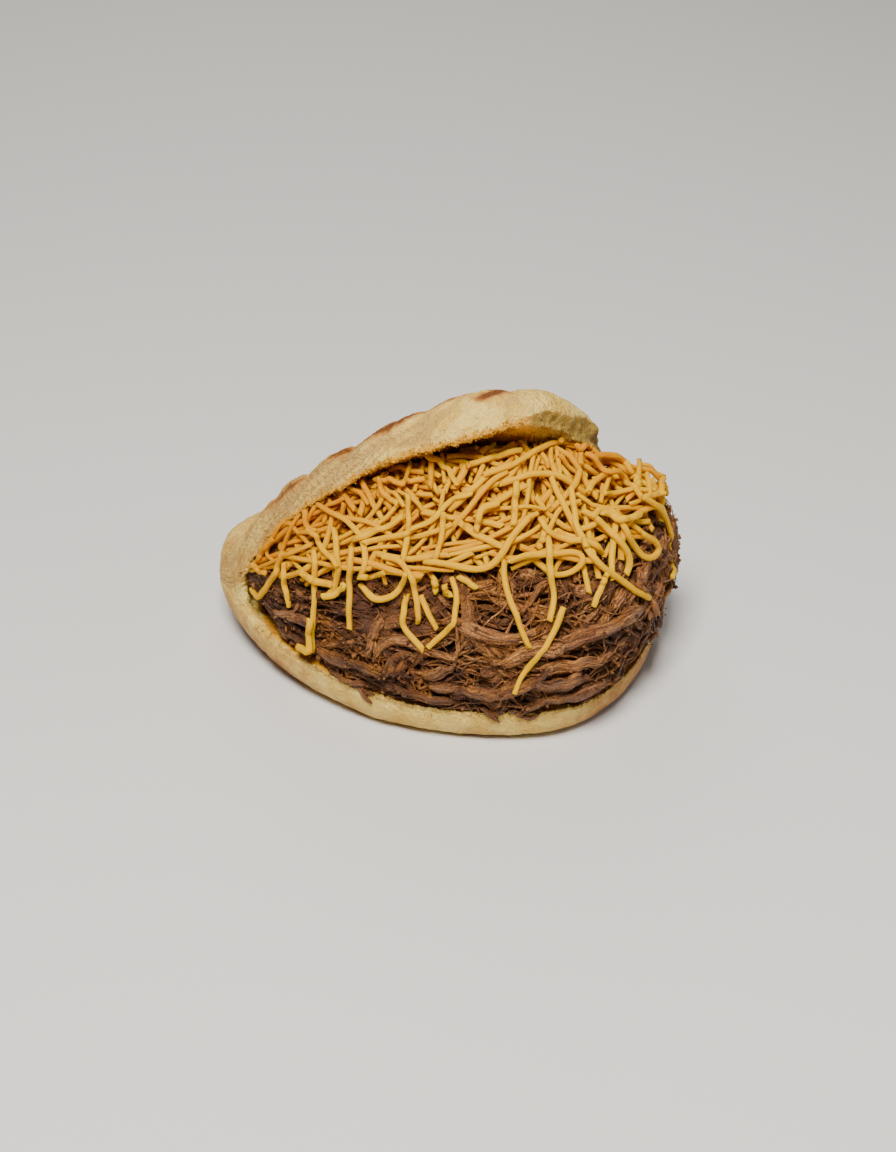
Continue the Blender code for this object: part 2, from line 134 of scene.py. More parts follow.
CREASE_BEND = ((0.9 * MM, 7.0 * MM),)  # how far the creases wander, and over what length
CREASE_LEAN = 3.0  # the side that laps over is this much broader
WRINKLE_SIZE = (9.0 * MM, 1.9 * MM)  # along the wall and across it
WRINKLE_BEND = ((1.3 * MM, 8.0 * MM),)
WRINKLE_SLANT = 0.38  # how steeply the wrinkles climb to the right
WRINKLE_DEPTH = 1.05 * MM
LIPS = (  # how far the lid's lower edge hangs down, X, half width
    (3.0 * MM, -1.5 * MM, 13.0 * MM),
    (0.9 * MM, -32.0 * MM, 8.0 * MM),
)
LIP_REACH = 5.0 * MM
TORN_RECESS = 4.0 * MM  # how far the torn face slants in under the crust
SOFT_START = -42.0 * MM  # past here the left end is one rounded wall
SOFT_RUN = 9.0 * MM
SOFT_WIDTH = 16.0 * MM
SOFT_PASSES = 140
CORNER_TIPS = (  # share of the lid's thickness, how far the torn corner stands out there
    (0.00, 0.2 * MM), (0.12, 0.9 * MM), (0.30, -1.5 * MM), (0.46, -1.1 * MM),
    (0.62, 1.5 * MM), (0.80, 0.5 * MM), (1.00, 0.0),
)
CORNER_WIDTH = 3.0 * MM
CORNER_JAGS = ((0.6 * MM, 1.3 * MM),)  # how far its small jags stand out, and their size
CRUST_SWELLS = ((0.35 * MM, 17.0 * MM), (0.20 * MM, 6.0 * MM))
CRUST_GRAIN = 2.4 * MM
CRUMB_GRAIN = (2.6 * MM, 1.3 * MM)
TOAST_WARP = ((1.1 * MM, 3.5 * MM),)
WALL_TOP = 15.9 * MM  # how far up the wall, then in, its highest point is
TOAST_SPOTS = (  # X, distance below the wall's top, half length, half width, strength
    (-42.5 * MM, 3.6 * MM, 4.6 * MM, 2.8 * MM, 0.90),
    (-31.5 * MM, 3.2 * MM, 4.2 * MM, 3.4 * MM, 1.10),
    (-21.5 * MM, 3.0 * MM, 4.6 * MM, 3.8 * MM, 1.10),
    (-14.0 * MM, 1.8 * MM, 6.0 * MM, 3.0 * MM, 1.00),
    (-4.0 * MM, 0.9 * MM, 5.0 * MM, 2.6 * MM, 0.75),
    (7.5 * MM, 4.4 * MM, 3.8 * MM, 3.0 * MM, 1.60),
    (2.5 * MM, 5.6 * MM, 3.0 * MM, 2.2 * MM, 0.90),
    (21.0 * MM, -9.0 * MM, 6.0 * MM, 4.0 * MM, 0.80),
)
END_BROWN = 0.42  # how far the bread's left end is darkened towards the toast colours
RIM_SHADE = 0.60  # painted shade on the right part of the base's rim, in the toast colours
SPECKS = ((210.0, 260.0, 0.55), (520.0, 330.0, 0.50))  # brown specks a metre, patches a metre, strength

# ---- The fillings: each core is a lopsided ball, as in the solids ----
BEEF_BALL = dict(left=54.5 * MM, right=61.5 * MM, left_power=2.0, right_power=2.4, ends_rise=3.0 * MM,
                 ridge=22.0 * MM, front_in=0.5 * MM, back_in=20.0 * MM, power=2.35, back_power=1.2,
                 low_power=5.0, middle=20.0 * MM, top=54.0 * MM, bottom=6.5 * MM)
CHEESE_BALL = dict(left=54.0 * MM, right=57.0 * MM, left_power=2.0, right_power=1.9, ends_rise=2.0 * MM,
                   ridge=27.0 * MM, front_in=9.0 * MM, back_in=42.0 * MM, power=2.0, back_power=1.2,
                   low_power=2.0, middle=30.0 * MM, top=66.0 * MM, bottom=21.0 * MM)
BACK_FULLNESS = 4.0
COVER_END = 40.0 * MM  # the lid covers the fillings up to here
INTO_LID = 3.0 * MM  # how far a core reaches into the lid's crumb
BACK_TUCK = 0.90  # how far the cores' back is drawn in at the open right end
TUCK_START = 6.0 * MM
TUCK_RUN = 20.0 * MM
BALL_STATIONS = 130
BALL_SIDES = 150

# ---- The meat ----
LEFT_BIT = 1.05 * MM  # the largest crumbly bits, at the left end and elsewhere
RIGHT_BIT = 0.85 * MM
LOW_SHADE = 0.60  # how much darker the lowest strands are, and the angles it spans
LOW_START = 0.10
LOW_RUN = 0.34
BEEF_RELIEF = 1.0 * MM  # how uneven the core is
BEEF_CURL = 32.0  # the spread of the strands' curl, in radians a metre
UNDER_CHEESE = 3.0 * MM  # no meat is laid where cheese, drawn in by this much, covers it
HIDDEN_UNDER = 1.0 * MM  # or comes this near to the meat's outline from below
FINE_AT_LEFT = 0.42  # how much shorter and finer the strands are at the left end
SEEN_WIDTH = 0.72  # drawn strands' radius, as a share of the half width that is seen
SEEN_BEEF_OVER = 3.5 * MM  # how far drawn strands may stand out
BITS_AT_LEFT = 0.45  # the share of the bits that lie at the left end
BIT_PLACES = (-53.0 * MM, -20.0 * MM, 74.0 * MM)  # the left end is up to the second
UNDER_LID = 0.5 * MM  # the cores' least distance below the pocket's roof
OVER_OUTLINE = 1.3 * MM  # how far strands may stand out from the solid's outline
FRAYS = 3  # threads that run over each thick strand
THREAD_PIXELS = 4.2  # strands of the photograph up to this half width are threads

# ---- The cheese ----
CHEESE_RELIEF = 0.8 * MM
CHEESE_CURL = 36.0
SEEN_CHEESE_OVER = 6.0 * MM
OVER_MEAT = 2.2 * MM  # how far the cheese's outline lies over the meat's where it is thin
ON_CHEESE = 0.78  # the share of a shred that has to lie on the cheese's own ground
LID_SHADE_NEAR = 3.0 * MM  # nearer than this to the lid's edge the cheese gets painted shade
LID_SHADE_RUN = 9.0 * MM
LID_EDGE_SPAN = (-50.0 * MM, 36.0 * MM)

# ---- Heap coordinates: a place along the axis and an angle round it ----
AXIS_Y = -18.0 * MM
AXIS_Z = 24.0 * MM
AXIS_BEND = -20.0 * MM
AXIS_LEAN = 0.40
AXIS_END = 36.0 * MM
END_RADIUS = 26.0 * MM
HEAP_RADIUS = 40.0 * MM  # about how far the heap's surface is from its axis
FAR = 90.0 * MM
CELL = 0.4 * MM
CELL_TURN = 0.010
DEPTH_SHADE = 0.75  # how much darker a strand deep under the heap's top is
DEPTH_START = 0.3 * MM
DEPTH_RUN = 2.6 * MM
PLACE_SPAN = (-56.0 * MM, 84.0 * MM)
TURN_SPAN = (-0.62, 3.9)

# ---- Where strands are tried: places along the axis, then angles round it ----
BEEF_SPAN = ((-53.0 * MM, 76.0 * MM), (-0.5, 3.75), (-0.5, 1.0))  # angles: past AXIS_END, before
CHEESE_SPAN = ((-52.0 * MM, 72.0 * MM), (0.2, 3.3), (0.2, 1.95))
BACK_PART = ((8.0 * MM, 46.0 * MM), (1.5, 3.85))  # the open right end, behind the filling
MOUTH_PART = ((-34.0 * MM, 32.0 * MM), (1.1, 1.7))  # under the lid's edge

# ---- Layers of meat, then of cheese, in the order they are laid. Lengths here are in millimetres ----
MEAT_LAYERS = (  # kind, how far it stands over the outline, lengths, half widths, straying, part
    ("threads", -1.5, (8, 22), (0.5, 1.0), 0.45, None),
    ("threads", 0.8, (10, 24), (0.6, 1.2), 0.50, BACK_PART),
    ("bundles", 0.0, (16, 40), (0.8, 2.0), 0.34, None),
    ("threads", 0.8, (16, 42), (0.35, 0.75), 0.22, None),
)
LOOSE_FIBRES = (1.5, (5, 22), (0.14, 0.32), 0.60)
CHEESE_LAYERS = (  # tried of all shreds, over the outline, short, usual and long, rise, part
    (1 / 1, 0.8, (14, 26, 42), 0.0, None),
    (1 / 9, 3.0, (8, 12, 20), 2.0, MOUTH_PART),
    (1 / 9, 0.8, (8, 14, 20), 0.0, BACK_PART),
    (1 / 2, 3.2, (18, 30, 48), 2.2, None),
)

# ---- Camera: the photograph's view ----
PHOTO_SIZE = (896, 1152)
CAMERA_PLACE = (-147.1 * MM, -512.4 * MM, 334.1 * MM)
CAMERA_TARGET = (-4.57 * MM, -30.94 * MM, 30.0 * MM)
CAMERA_FOCAL = 2252.0  # pixels
VIEW_DEPTHS = (0.42, 0.64, 0.0003)  # nearest, farthest and step when a line is followed to the heap
NEAR_HEAP = 3.0 * MM  # a line that passes the heap within this is taken to lie on it
PIXEL_AT_HEAP = 0.25 * MM  # what one pixel covers at the heap's front

# ---- Stage ----
LIGHTS = (  # name, place, side of the square, tint
    ("key", (-0.20, -0.42, 0.82), 0.32, (1.0, 0.96, 0.90)),
    ("fill", (0.75, -0.45, 0.45), 0.60, (0.93, 0.96, 1.0)),
    ("back", (0.10, 0.70, 0.60), 0.50, (1.0, 0.97, 0.93)),
)
FOOD_MIDDLE = (0.0, -0.02, 0.03)
SKY_TINT = (1.0, 0.98, 0.95)
FLOOR_REACH = 4.0
FILM_WIDTH = 36.0  # millimetres, as camera lenses are given

# ---- Where the cheese ends on the meat, pixels from left to right ----
CHEESE_BORDER = ((215, 505), (240, 540), (262, 562), (285, 576), (300, 574), (380, 572), (450, 574),
                 (480, 566), (560, 564), (600, 552), (628, 546), (642, 522), (652, 500), (664, 480),
                 (672, 300))

# ---- Cheese that stands out in the photograph: pixel of each bend, in its 896 by 1152 frame ----
CHEESE_PIXELS = (
    ((317, 508), (345, 524), (361, 540), (363, 564), (359, 578)), ((375, 482), (388, 485), (405, 487)),
    ((377, 482), (383, 496), (397, 507)), ((407, 496), (407, 532), (401, 562)),
    ((363, 544), (401, 536), (425, 528)), ((353, 541), (378, 533), (401, 520)),
    ((303, 514), (307, 528), (317, 535)), ((333, 528), (336, 568), (333, 588), (323, 596)),
    ((305, 536), (325, 554), (337, 568)), ((273, 540), (264, 550), (258, 561)),
    ((281, 556), (270, 578), (256, 588), (242, 595)), ((249, 568), (264, 574)),
    ((283, 564), (283, 584), (288, 604)), ((313, 552), (313, 580), (311, 620), (308, 648)),
    ((309, 618), (303, 628), (294, 636)), ((351, 548), (347, 580), (348, 627)),
    ((407, 594), (401, 608), (402, 625), (412, 637), (423, 649)),
    ((451, 578), (455, 600), (447, 624), (426, 646)), ((419, 594), (427, 612), (436, 628)),
    ((381, 558), (395, 560), (407, 572), (414, 594), (417, 622)),
    ((359, 584), (372, 598), (386, 598), (398, 588), (404, 574)), ((299, 572), (311, 580), (330, 584)),
    ((341, 584), (334, 594), (322, 596)), ((358, 577), (370, 577), (382, 573)), ((432, 578), (435, 592)),
    ((443, 584), (445, 594)), ((410, 530), (432, 522), (447, 505), (472, 495)),
    ((442, 515), (440, 540), (433, 562)), ((457, 527), (480, 538), (503, 548)),
    ((527, 520), (510, 537), (497, 560), (477, 571), (452, 565), (422, 563)),
    ((425, 459), (442, 468), (457, 487)), ((467, 468), (492, 460), (520, 452)),
    ((483, 476), (515, 467), (540, 451), (565, 442), (577, 443)), ((562, 434), (560, 446)),
    ((580, 445), (580, 466)), ((575, 450), (590, 450)), ((592, 459), (612, 460), (624, 465), (629, 477)),
    ((585, 457), (605, 474), (622, 482), (641, 501)), ((631, 481), (640, 485)),
    ((641, 499), (653, 496), (662, 495)),
    ((640, 500), (655, 509), (666, 526), (672, 546), (674, 562), (669, 576)),
    ((550, 480), (560, 505), (574, 530), (590, 560), (612, 574), (648, 597)),
    ((581, 512), (600, 525), (618, 541), (627, 556), (625, 574)),
    ((590, 518), (600, 507), (611, 511), (620, 524), (628, 540), (638, 556), (648, 562), (655, 551),
     (649, 540), (641, 534)),
    ((508, 562), (527, 554), (550, 555), (570, 551), (585, 556), (577, 568), (560, 576), (545, 573)),
    ((503, 560), (503, 576), (508, 598), (516, 620), (527, 645)),
    ((547, 536), (546, 560), (550, 580), (553, 600), (548, 620)),
    ((559, 604), (556, 626), (537, 653), (510, 685)), ((515, 484), (514, 505), (512, 526)),
    ((498, 505), (481, 510), (475, 532)), ((545, 526), (540, 538), (536, 548)),
    ((570, 490), (575, 525), (586, 547)), ((538, 521), (558, 540), (581, 540)),
    ((605, 573), (598, 590), (593, 605)), ((456, 576), (466, 582), (476, 588)),
    ((600, 514), (612, 520), (628, 519), (640, 515)),
)

# ---- Beef that stands out: half width in pixels, then the pixel of each bend ----
BEEF_PIXELS = (
    (7.0, (438, 620), (455, 620), (480, 632), (508, 637), (538, 628)),
    (7.5, (556, 641), (590, 631), (618, 622), (637, 604)),
    (7.0, (538, 666), (570, 662), (600, 655), (612, 648)),
    (5.5, (428, 680), (460, 686), (500, 690), (530, 680), (552, 668)),
    (6.0, (536, 682), (562, 681), (585, 671)), (6.0, (500, 662), (530, 648), (562, 646)),
    (2.2, (455, 622), (456, 646), (450, 668), (432, 668)), (2.8, (484, 645), (495, 664), (511, 676)),
    (4.0, (515, 614), (529, 601), (540, 584)),
    (5.0, (371, 656), (380, 641), (403, 637), (425, 648), (454, 659)),
    (4.5, (372, 661), (381, 673), (391, 659), (410, 651)), (6.5, (269, 640), (284, 634), (306, 642)),
    (4.0, (279, 658), (294, 650), (313, 643)), (5.0, (313, 644), (335, 657), (362, 662), (382, 676)),
    (5.0, (364, 650), (373, 630), (381, 614)), (5.5, (272, 606), (292, 614), (313, 621)),
    (5.0, (410, 668), (433, 671), (452, 665)), (3.2, (346, 678), (359, 687), (372, 702)),
    (3.5, (478, 705), (497, 714)), (4.0, (510, 716), (530, 706), (549, 694)),
    (4.5, (545, 698), (578, 691), (604, 680)), (5.0, (322, 668), (345, 676), (372, 684)),
    (4.5, (392, 682), (420, 694), (452, 699)), (4.0, (236, 604), (246, 618), (262, 630)),
    (3.5, (655, 610), (660, 628), (654, 648)), (4.0, (640, 585), (652, 604), (655, 622)),
)

# ---- Scraps of meat on the base's rim, in the same way ----
RIM_SCRAPS = (
    (2.6, (345, 678), (352, 681), (360, 688), (366, 697), (373, 703)),
    (2.0, (352, 680), (359, 676), (366, 677)), (1.6, (362, 690), (369, 693), (376, 694)),
    (2.4, (398, 693), (410, 698), (424, 699)), (2.2, (476, 708), (488, 713), (500, 722)),
    (2.0, (520, 716), (531, 718), (540, 712)),
)


# ================================ Numbers and noise ================================

def smooth(t):
    """Rises from 0 to 1 as t does, level at both ends."""
    t = np.clip(t, 0.0, 1.0)
    return t * t * (3.0 - 2.0 * t)


def swell(w, power):
    """Half an oval: 1 in the middle, 0 at w = -1 and w = 1."""
    return np.maximum(1.0 - np.abs(w) ** power, 0.0) ** (1.0 / power)


def bell(d):
    """A hump: 1 at d = 0, falling to nothing past 2 on both sides."""
    return np.exp(-(d ** 2))


def hashed(cell, seed):
    """A repeatable random number from 0 to 1 for each whole-numbered cell, by mixing its bits."""
    c = cell.astype(np.int64)
    n = (c[..., 0] * 73856093) ^ (c[..., 1] * 19349663) ^ (c[..., 2] * 83492791) ^ (seed * 9781)
    n = (n & 0xFFFFFFFF).astype(np.uint64)
    n = ((n ^ (n >> np.uint64(15))) * np.uint64(2246822519)) & np.uint64(0xFFFFFFFF)
    n = ((n ^ (n >> np.uint64(13))) * np.uint64(3266489917)) & np.uint64(0xFFFFFFFF)
    n = n ^ (n >> np.uint64(16))
    return n.astype(float) / 4294967295.0


def noise(points, size, seed):
    """Smooth noise from -1 to 1: random values on a lattice `size` apart, blended by smooth steps."""
    q = points / size + 311.7
    cell = np.floor(q)
    t = q - cell
    t = t * t * (3.0 - 2.0 * t)
    total = 0.0
    for corner in np.ndindex(2, 2, 2):
        weight = np.prod(np.where(np.array(corner) == 1, t, 1.0 - t), axis=-1)
        total = total + weight * hashed(cell + np.array(corner), seed)
    return 2.0 * total - 1.0


def rough(points, size, seed, layers=3):
    """Noise at several sizes: each layer is half as large and half as strong as the one before."""
    total = 0.0
    for layer in range(layers):
        turned = points @ np.array([[0.8, 0.6, 0.0], [-0.48, 0.64, 0.6], [0.36, -0.48, 0.8]]).T
        points = turned
        total = total + noise(points, size * 0.5 ** layer, seed + layer) * 0.5 ** layer
    return total


def waves(points, layers, seed):
    """Noise added up from layers that each have a depth and a size."""
    return sum(depth * noise(points, size, seed + n) for n, (depth, size) in enumerate(layers))


def unit(v):
    """Vectors scaled to length 1."""
    return v / (np.linalg.norm(v, axis=-1, keepdims=True) + 1e-12)


# ================================ Meshes ================================

def new_object(name, verts, quads, triangles=()):
    """A smooth-shaded mesh object from arrays of points, four-sided and three-sided faces."""
    quads = np.asarray(quads, dtype=np.int32).reshape(-1, 4)
    triangles = np.asarray(triangles, dtype=np.int32).reshape(-1, 3)
    mesh = bpy.data.meshes.new(name)
    mesh.vertices.add(len(verts))
    mesh.vertices.foreach_set("co", np.asarray(verts, dtype=np.float32).ravel())
    corners = np.concatenate([quads.ravel(), triangles.ravel()])
    mesh.loops.add(len(corners))
    mesh.loops.foreach_set("vertex_index", corners)
    starts = np.concatenate([4 * np.arange(len(quads)), 4 * len(quads) + 3 * np.arange(len(triangles))])
    mesh.polygons.add(len(starts))
    mesh.polygons.foreach_set("loop_start", starts.astype(np.int32))
    mesh.update(calc_edges=True)
    mesh.validate()
    mesh.polygons.foreach_set("use_smooth", np.ones(len(mesh.polygons), dtype=bool))
    obj = bpy.data.objects.new(name, mesh)
    bpy.context.scene.collection.objects.link(obj)
    return obj


def in_box(verts):
    """Points held just inside the solids' box."""
    return np.clip(verts, np.array(CAD_BOX[0]) + EDGE_ROOM, np.array(CAD_BOX[1]) - EDGE_ROOM)


def give(obj, name, values):
    """Stores one number, or one vector, for each point of a mesh."""
    values = np.asarray(values, dtype=np.float32)
    vector = values.ndim == 2
    attribute = obj.data.attributes.new(name, "FLOAT_VECTOR" if vector else "FLOAT", "POINT")
    attribute.data.foreach_set("vector" if vector else "value", values.ravel())


def ring_quads(count, sides, base=0):
    """Faces of a grid of `count` rings, each closed on itself."""
    i, j = np.meshgrid(np.arange(count - 1), np.arange(sides), indexing="ij")
    k = (j + 1) % sides
    quads = np.stack([i * sides + j, i * sides + k, (i + 1) * sides + k, (i + 1) * sides + j], axis=-1)
    return quads.reshape(-1, 4) + base


def merge_tips(obj, distance=0.02 * MM):
    """Welds the points that meet at the tips of a lofted surface and turns its faces outward."""
    bm = bmesh.new()
    bm.from_mesh(obj.data)
    bmesh.ops.remove_doubles(bm, verts=bm.verts, dist=distance)
    bmesh.ops.dissolve_degenerate(bm, edges=bm.edges, dist=0.001 * MM)
    bmesh.ops.recalc_face_normals(bm, faces=bm.faces)
    bm.to_mesh(obj.data)
    bm.free()


def grid_normals(points):
    """Outward normals of a grid of closed rings: the cross product of its two directions."""
    along = np.gradient(points, axis=0)
    around = np.roll(points, -1, axis=1) - np.roll(points, 1, axis=1)
    normal = unit(np.cross(along, around))
    middle = points.mean(axis=1, keepdims=True)
    outward = np.sign(((points - middle) * normal).sum(axis=(1, 2)).mean())
    return normal * outward


def loft(name, rings):
    """A closed surface through rings whose first and last are each one point."""
    return new_object(name, rings.reshape(-1, 3), ring_quads(*rings.shape[:2]))


def tubes(name, points, straight, tone):
    """Many closed tubes in one mesh.

    points holds (tubes, rings, sides) places and straight the same places before bending. Each
    tube's ends are closed by a fan round a middle point that stands a little beyond the last ring.
    tone is one number for each tube, or one for each ring.
    """
    number, rings, sides, _ = points.shape
    ends = points[:, [0, -1]].mean(axis=2)
    inner = points[:, [1, -2]].mean(axis=2)
    ends = ends + TIP_STAND * (ends - inner)
    stride = rings * sides + 2
    verts = in_box(np.concatenate([points.reshape(number, -1, 3), ends], axis=1).reshape(-1, 3))
    rest_ends = straight[:, [0, -1]].mean(axis=2)
    rest = np.concatenate([straight.reshape(number, -1, 3), rest_ends], axis=1).reshape(-1, 3)
    one = ring_quads(rings, sides)
    j = np.arange(sides)
    first = np.stack([np.full(sides, rings * sides), (j + 1) % sides, j], axis=-1)
    last_ring = (rings - 1) * sides
    last = np.stack([np.full(sides, rings * sides + 1), last_ring + j, last_ring + (j + 1) % sides], -1)
    shift = (stride * np.arange(number))[:, None, None]
    obj = new_object(name, verts, (one[None] + shift).reshape(-1, 4),
                     (np.concatenate([first, last])[None] + shift).reshape(-1, 3))
    give(obj, "straight", rest)
    tone = np.broadcast_to(tone[:, None] if tone.ndim == 1 else tone, (number, rings))
    give(obj, "tone", np.concatenate([np.repeat(tone, sides, axis=1), tone[:, [0, -1]]], axis=1).ravel())
    return obj


def lump_shape():
    """An eight-sided ball with each side split in four: 18 points and 32 faces."""
    points, faces = [], []
    for signs in np.array(np.meshgrid([-1, 1], [-1, 1], [-1, 1])).reshape(3, -1).T:
        a, b, c = np.diag(signs.astype(float))
        ab, bc, ca = unit(a + b), unit(b + c), unit(c + a)
        for face in ((a, ab, ca), (ab, b, bc), (ca, bc, c), (ab, bc, ca)):
            faces.append(len(points) + np.arange(3)[::int(np.prod(signs))])
            points.extend(face)
    points, index = np.unique(np.round(points, 6), axis=0, return_inverse=True)
    return points, index.ravel()[np.array(faces)]


def lumps(rng, name, centres, sizes, tone, flat=1.0):
    """Small uneven bits: lumps turned and stretched at random, each corner pushed in or out."""
    base, faces = lump_shape()
    count = len(centres)
    a = unit(rng.normal(size=(count, 3)))
    b = unit(np.cross(a, rng.normal(size=(count, 3))))
    frames = np.stack([a, b, np.cross(a, b)], axis=1)
    scale = rng.uniform(0.55, 1.45, (count, 1, 3)) * np.array([1.0, 1.0, flat])
    bump = rng.uniform(0.70, 1.20, (count, len(base), 1))
    local = base[None] * scale * bump * sizes[:, None, None]
    verts = in_box(centres[:, None, :] + local @ frames)
    shift = (len(base) * np.arange(count))[:, None, None]
    obj = new_object(name, verts.reshape(-1, 3), (), (faces[None] + shift).reshape(-1, 3))
    give(obj, "straight", (local + rng.uniform(0.0, 1.0, (count, 1, 1))).reshape(-1, 3))
    give(obj, "tone", np.repeat(tone, len(base)))
    return obj


# ================================ The bread's formula ================================

def front_edge(x):
    """Y of the bread's front edge: half an oval with two broad lobes, skewed along X."""
    w = x / HALF_LENGTH
    lobes = sum(depth * bell((x - place) / LOBE_WIDTH) for depth, place in FRONT_LOBES)
    return -(FRONT_REACH + lobes) * swell(w, FRONT_POWER) - SKEW * w


def back_edge(x):
    """Y of the bread's back edge."""
    w = x / HALF_LENGTH
    return BACK_REACH * swell(w, BACK_POWER) - SKEW * w


def lid_edge(x):
    """Y of the lid's front edge before it folds: the right corner is torn back."""
    torn = TEAR_DEPTH * smooth((x - TEAR_START) / TEAR_RUN)
    torn = torn + CORNER_DEPTH * smooth((x - CORNER_START) / CORNER_RUN)
    torn = torn * swell(x / HALF_LENGTH, FRONT_POWER)
    return np.minimum(front_edge(x) + torn, back_edge(x))


def lift(x):
    """How far the left end curls up."""
    return LIFT * np.clip((-x - LIFT_START) / LIFT_RUN, 0.0, 1.0) ** 2


def fold_lid(x, y, rise):
    """Y and Z of a lid point that lay at (x, y), `rise` above the cut, once the lid is folded.

    The turn grows smoothly over the bend and then a little more along the lid. The middle line's
    place is the length so far times the mean of the turn's cosine and of its sine.
    """
    w = x / HALF_LENGTH
    angle = LID_ANGLE + LID_TWIST * w + LID_CUP * w ** 2
    hinge = np.maximum(back_edge(x) - BEND_PLACE * HINGE_DEPTH, front_edge(x))
    full = np.maximum(hinge - front_edge(x), 1e-6)
    reach = np.maximum(hinge - y, 0.0)
    cosine, sine = 0.0, 0.0
    for share in (np.arange(BEND_STEPS) + 0.5) / BEND_STEPS:
        turns = angle * smooth(reach * share / BEND_LENGTH) * (1.0 + LID_ARCH * reach * share / full)
        cosine = cosine + np.cos(turns) / BEND_STEPS
        sine = sine + np.sin(turns) / BEND_STEPS
    turn = angle * smooth(reach / BEND_LENGTH) * (1.0 + LID_ARCH * reach / full)
    behind = np.maximum(y - hinge, 0.0)
    folded_y = hinge + behind - reach * cosine + rise * np.sin(turn)
    folded_z = LOWER_THICK + reach * sine + rise * np.cos(turn)
    return folded_y, folded_z


def slot_root(x):
    """Y where the slot ends at the back: it closes towards both ends of the fold."""
    run = np.where(x < 0.0, LEFT_RUN, END_RUN)
    open_share = smooth((HALF_LENGTH - np.abs(x) - END_WALL) / run)
    front, back = front_edge(x), back_edge(x)
    return np.maximum(front + (back - HINGE_DEPTH - front) * open_share, lid_edge(x))


def crust_line(front, back, thick):
    """One half's outline from the front edge round the outside to the back edge.

    Each shoulder is a quarter of a squarish oval. Gives Y and the distance from the cut.
    """
    rim = np.minimum(RIM_DEPTH, 0.4995 * (back - front))
    a = np.pi / 2 * np.linspace(0.0, 1.0, FRONT_RIM_ROWS)[None] ** 1.4
    b = np.linspace(0.0, np.pi / 2, BACK_RIM_ROWS)[None, ::-1]
    t = np.linspace(0.0, 1.0, FLAT_ROWS + 2)[1:-1][None]
    power = 2.0 / RIM_POWER
    y = np.hstack([front + rim * (1.0 - np.cos(a) ** power), front + rim + (back - front - 2 * rim) * t,
                   back - rim * (1.0 - np.cos(b) ** power)])
    away = np.hstack([thick * np.sin(a) ** power, thick + 0.0 * t, thick * np.sin(b) ** power])
    return y, away


def tear_line(x):
    """How high up the lid's wall the bare crumb shows, as a share: a thin band, and more at the right."""
    torn = TORN_BAND * smooth((x - 9.0 * MM) / (14.0 * MM))
    return BARE_BAND + torn + 0.40 * smooth((x - 25.0 * MM) / (11.0 * MM))


def lip_drop(x, from_edge):
    """How far the lid's lower edge hangs down: broad swells along X that fade away from the edge."""
    drop = sum(depth * bell((x - place) / width) for depth, place, width in LIPS)
    return drop * bell(from_edge / LIP_REACH)


def softened(rings, weight):
    """Each point drawn towards the middle of its neighbours, by its weight, many times over."""
    for _ in range(SOFT_PASSES):
        around = (np.roll(rings, 1, axis=1) + np.roll(rings, -1, axis=1)) / 2.0
        along = np.concatenate([rings[:1], (rings[:-2] + rings[2:]) / 2.0, rings[-1:]])
        rings = rings + weight[..., None] * (0.4 * around + 0.4 * along - 0.8 * rings)
    return rings


def edge_wander(x, seed):
    """A ragged line: the bread's edge waves in and out by small steps."""
    flat = np.concatenate([x, 0.0 * x, 0.0 * x], axis=-1)
    return waves(flat, EDGE_WAVES, seed)[:, None]


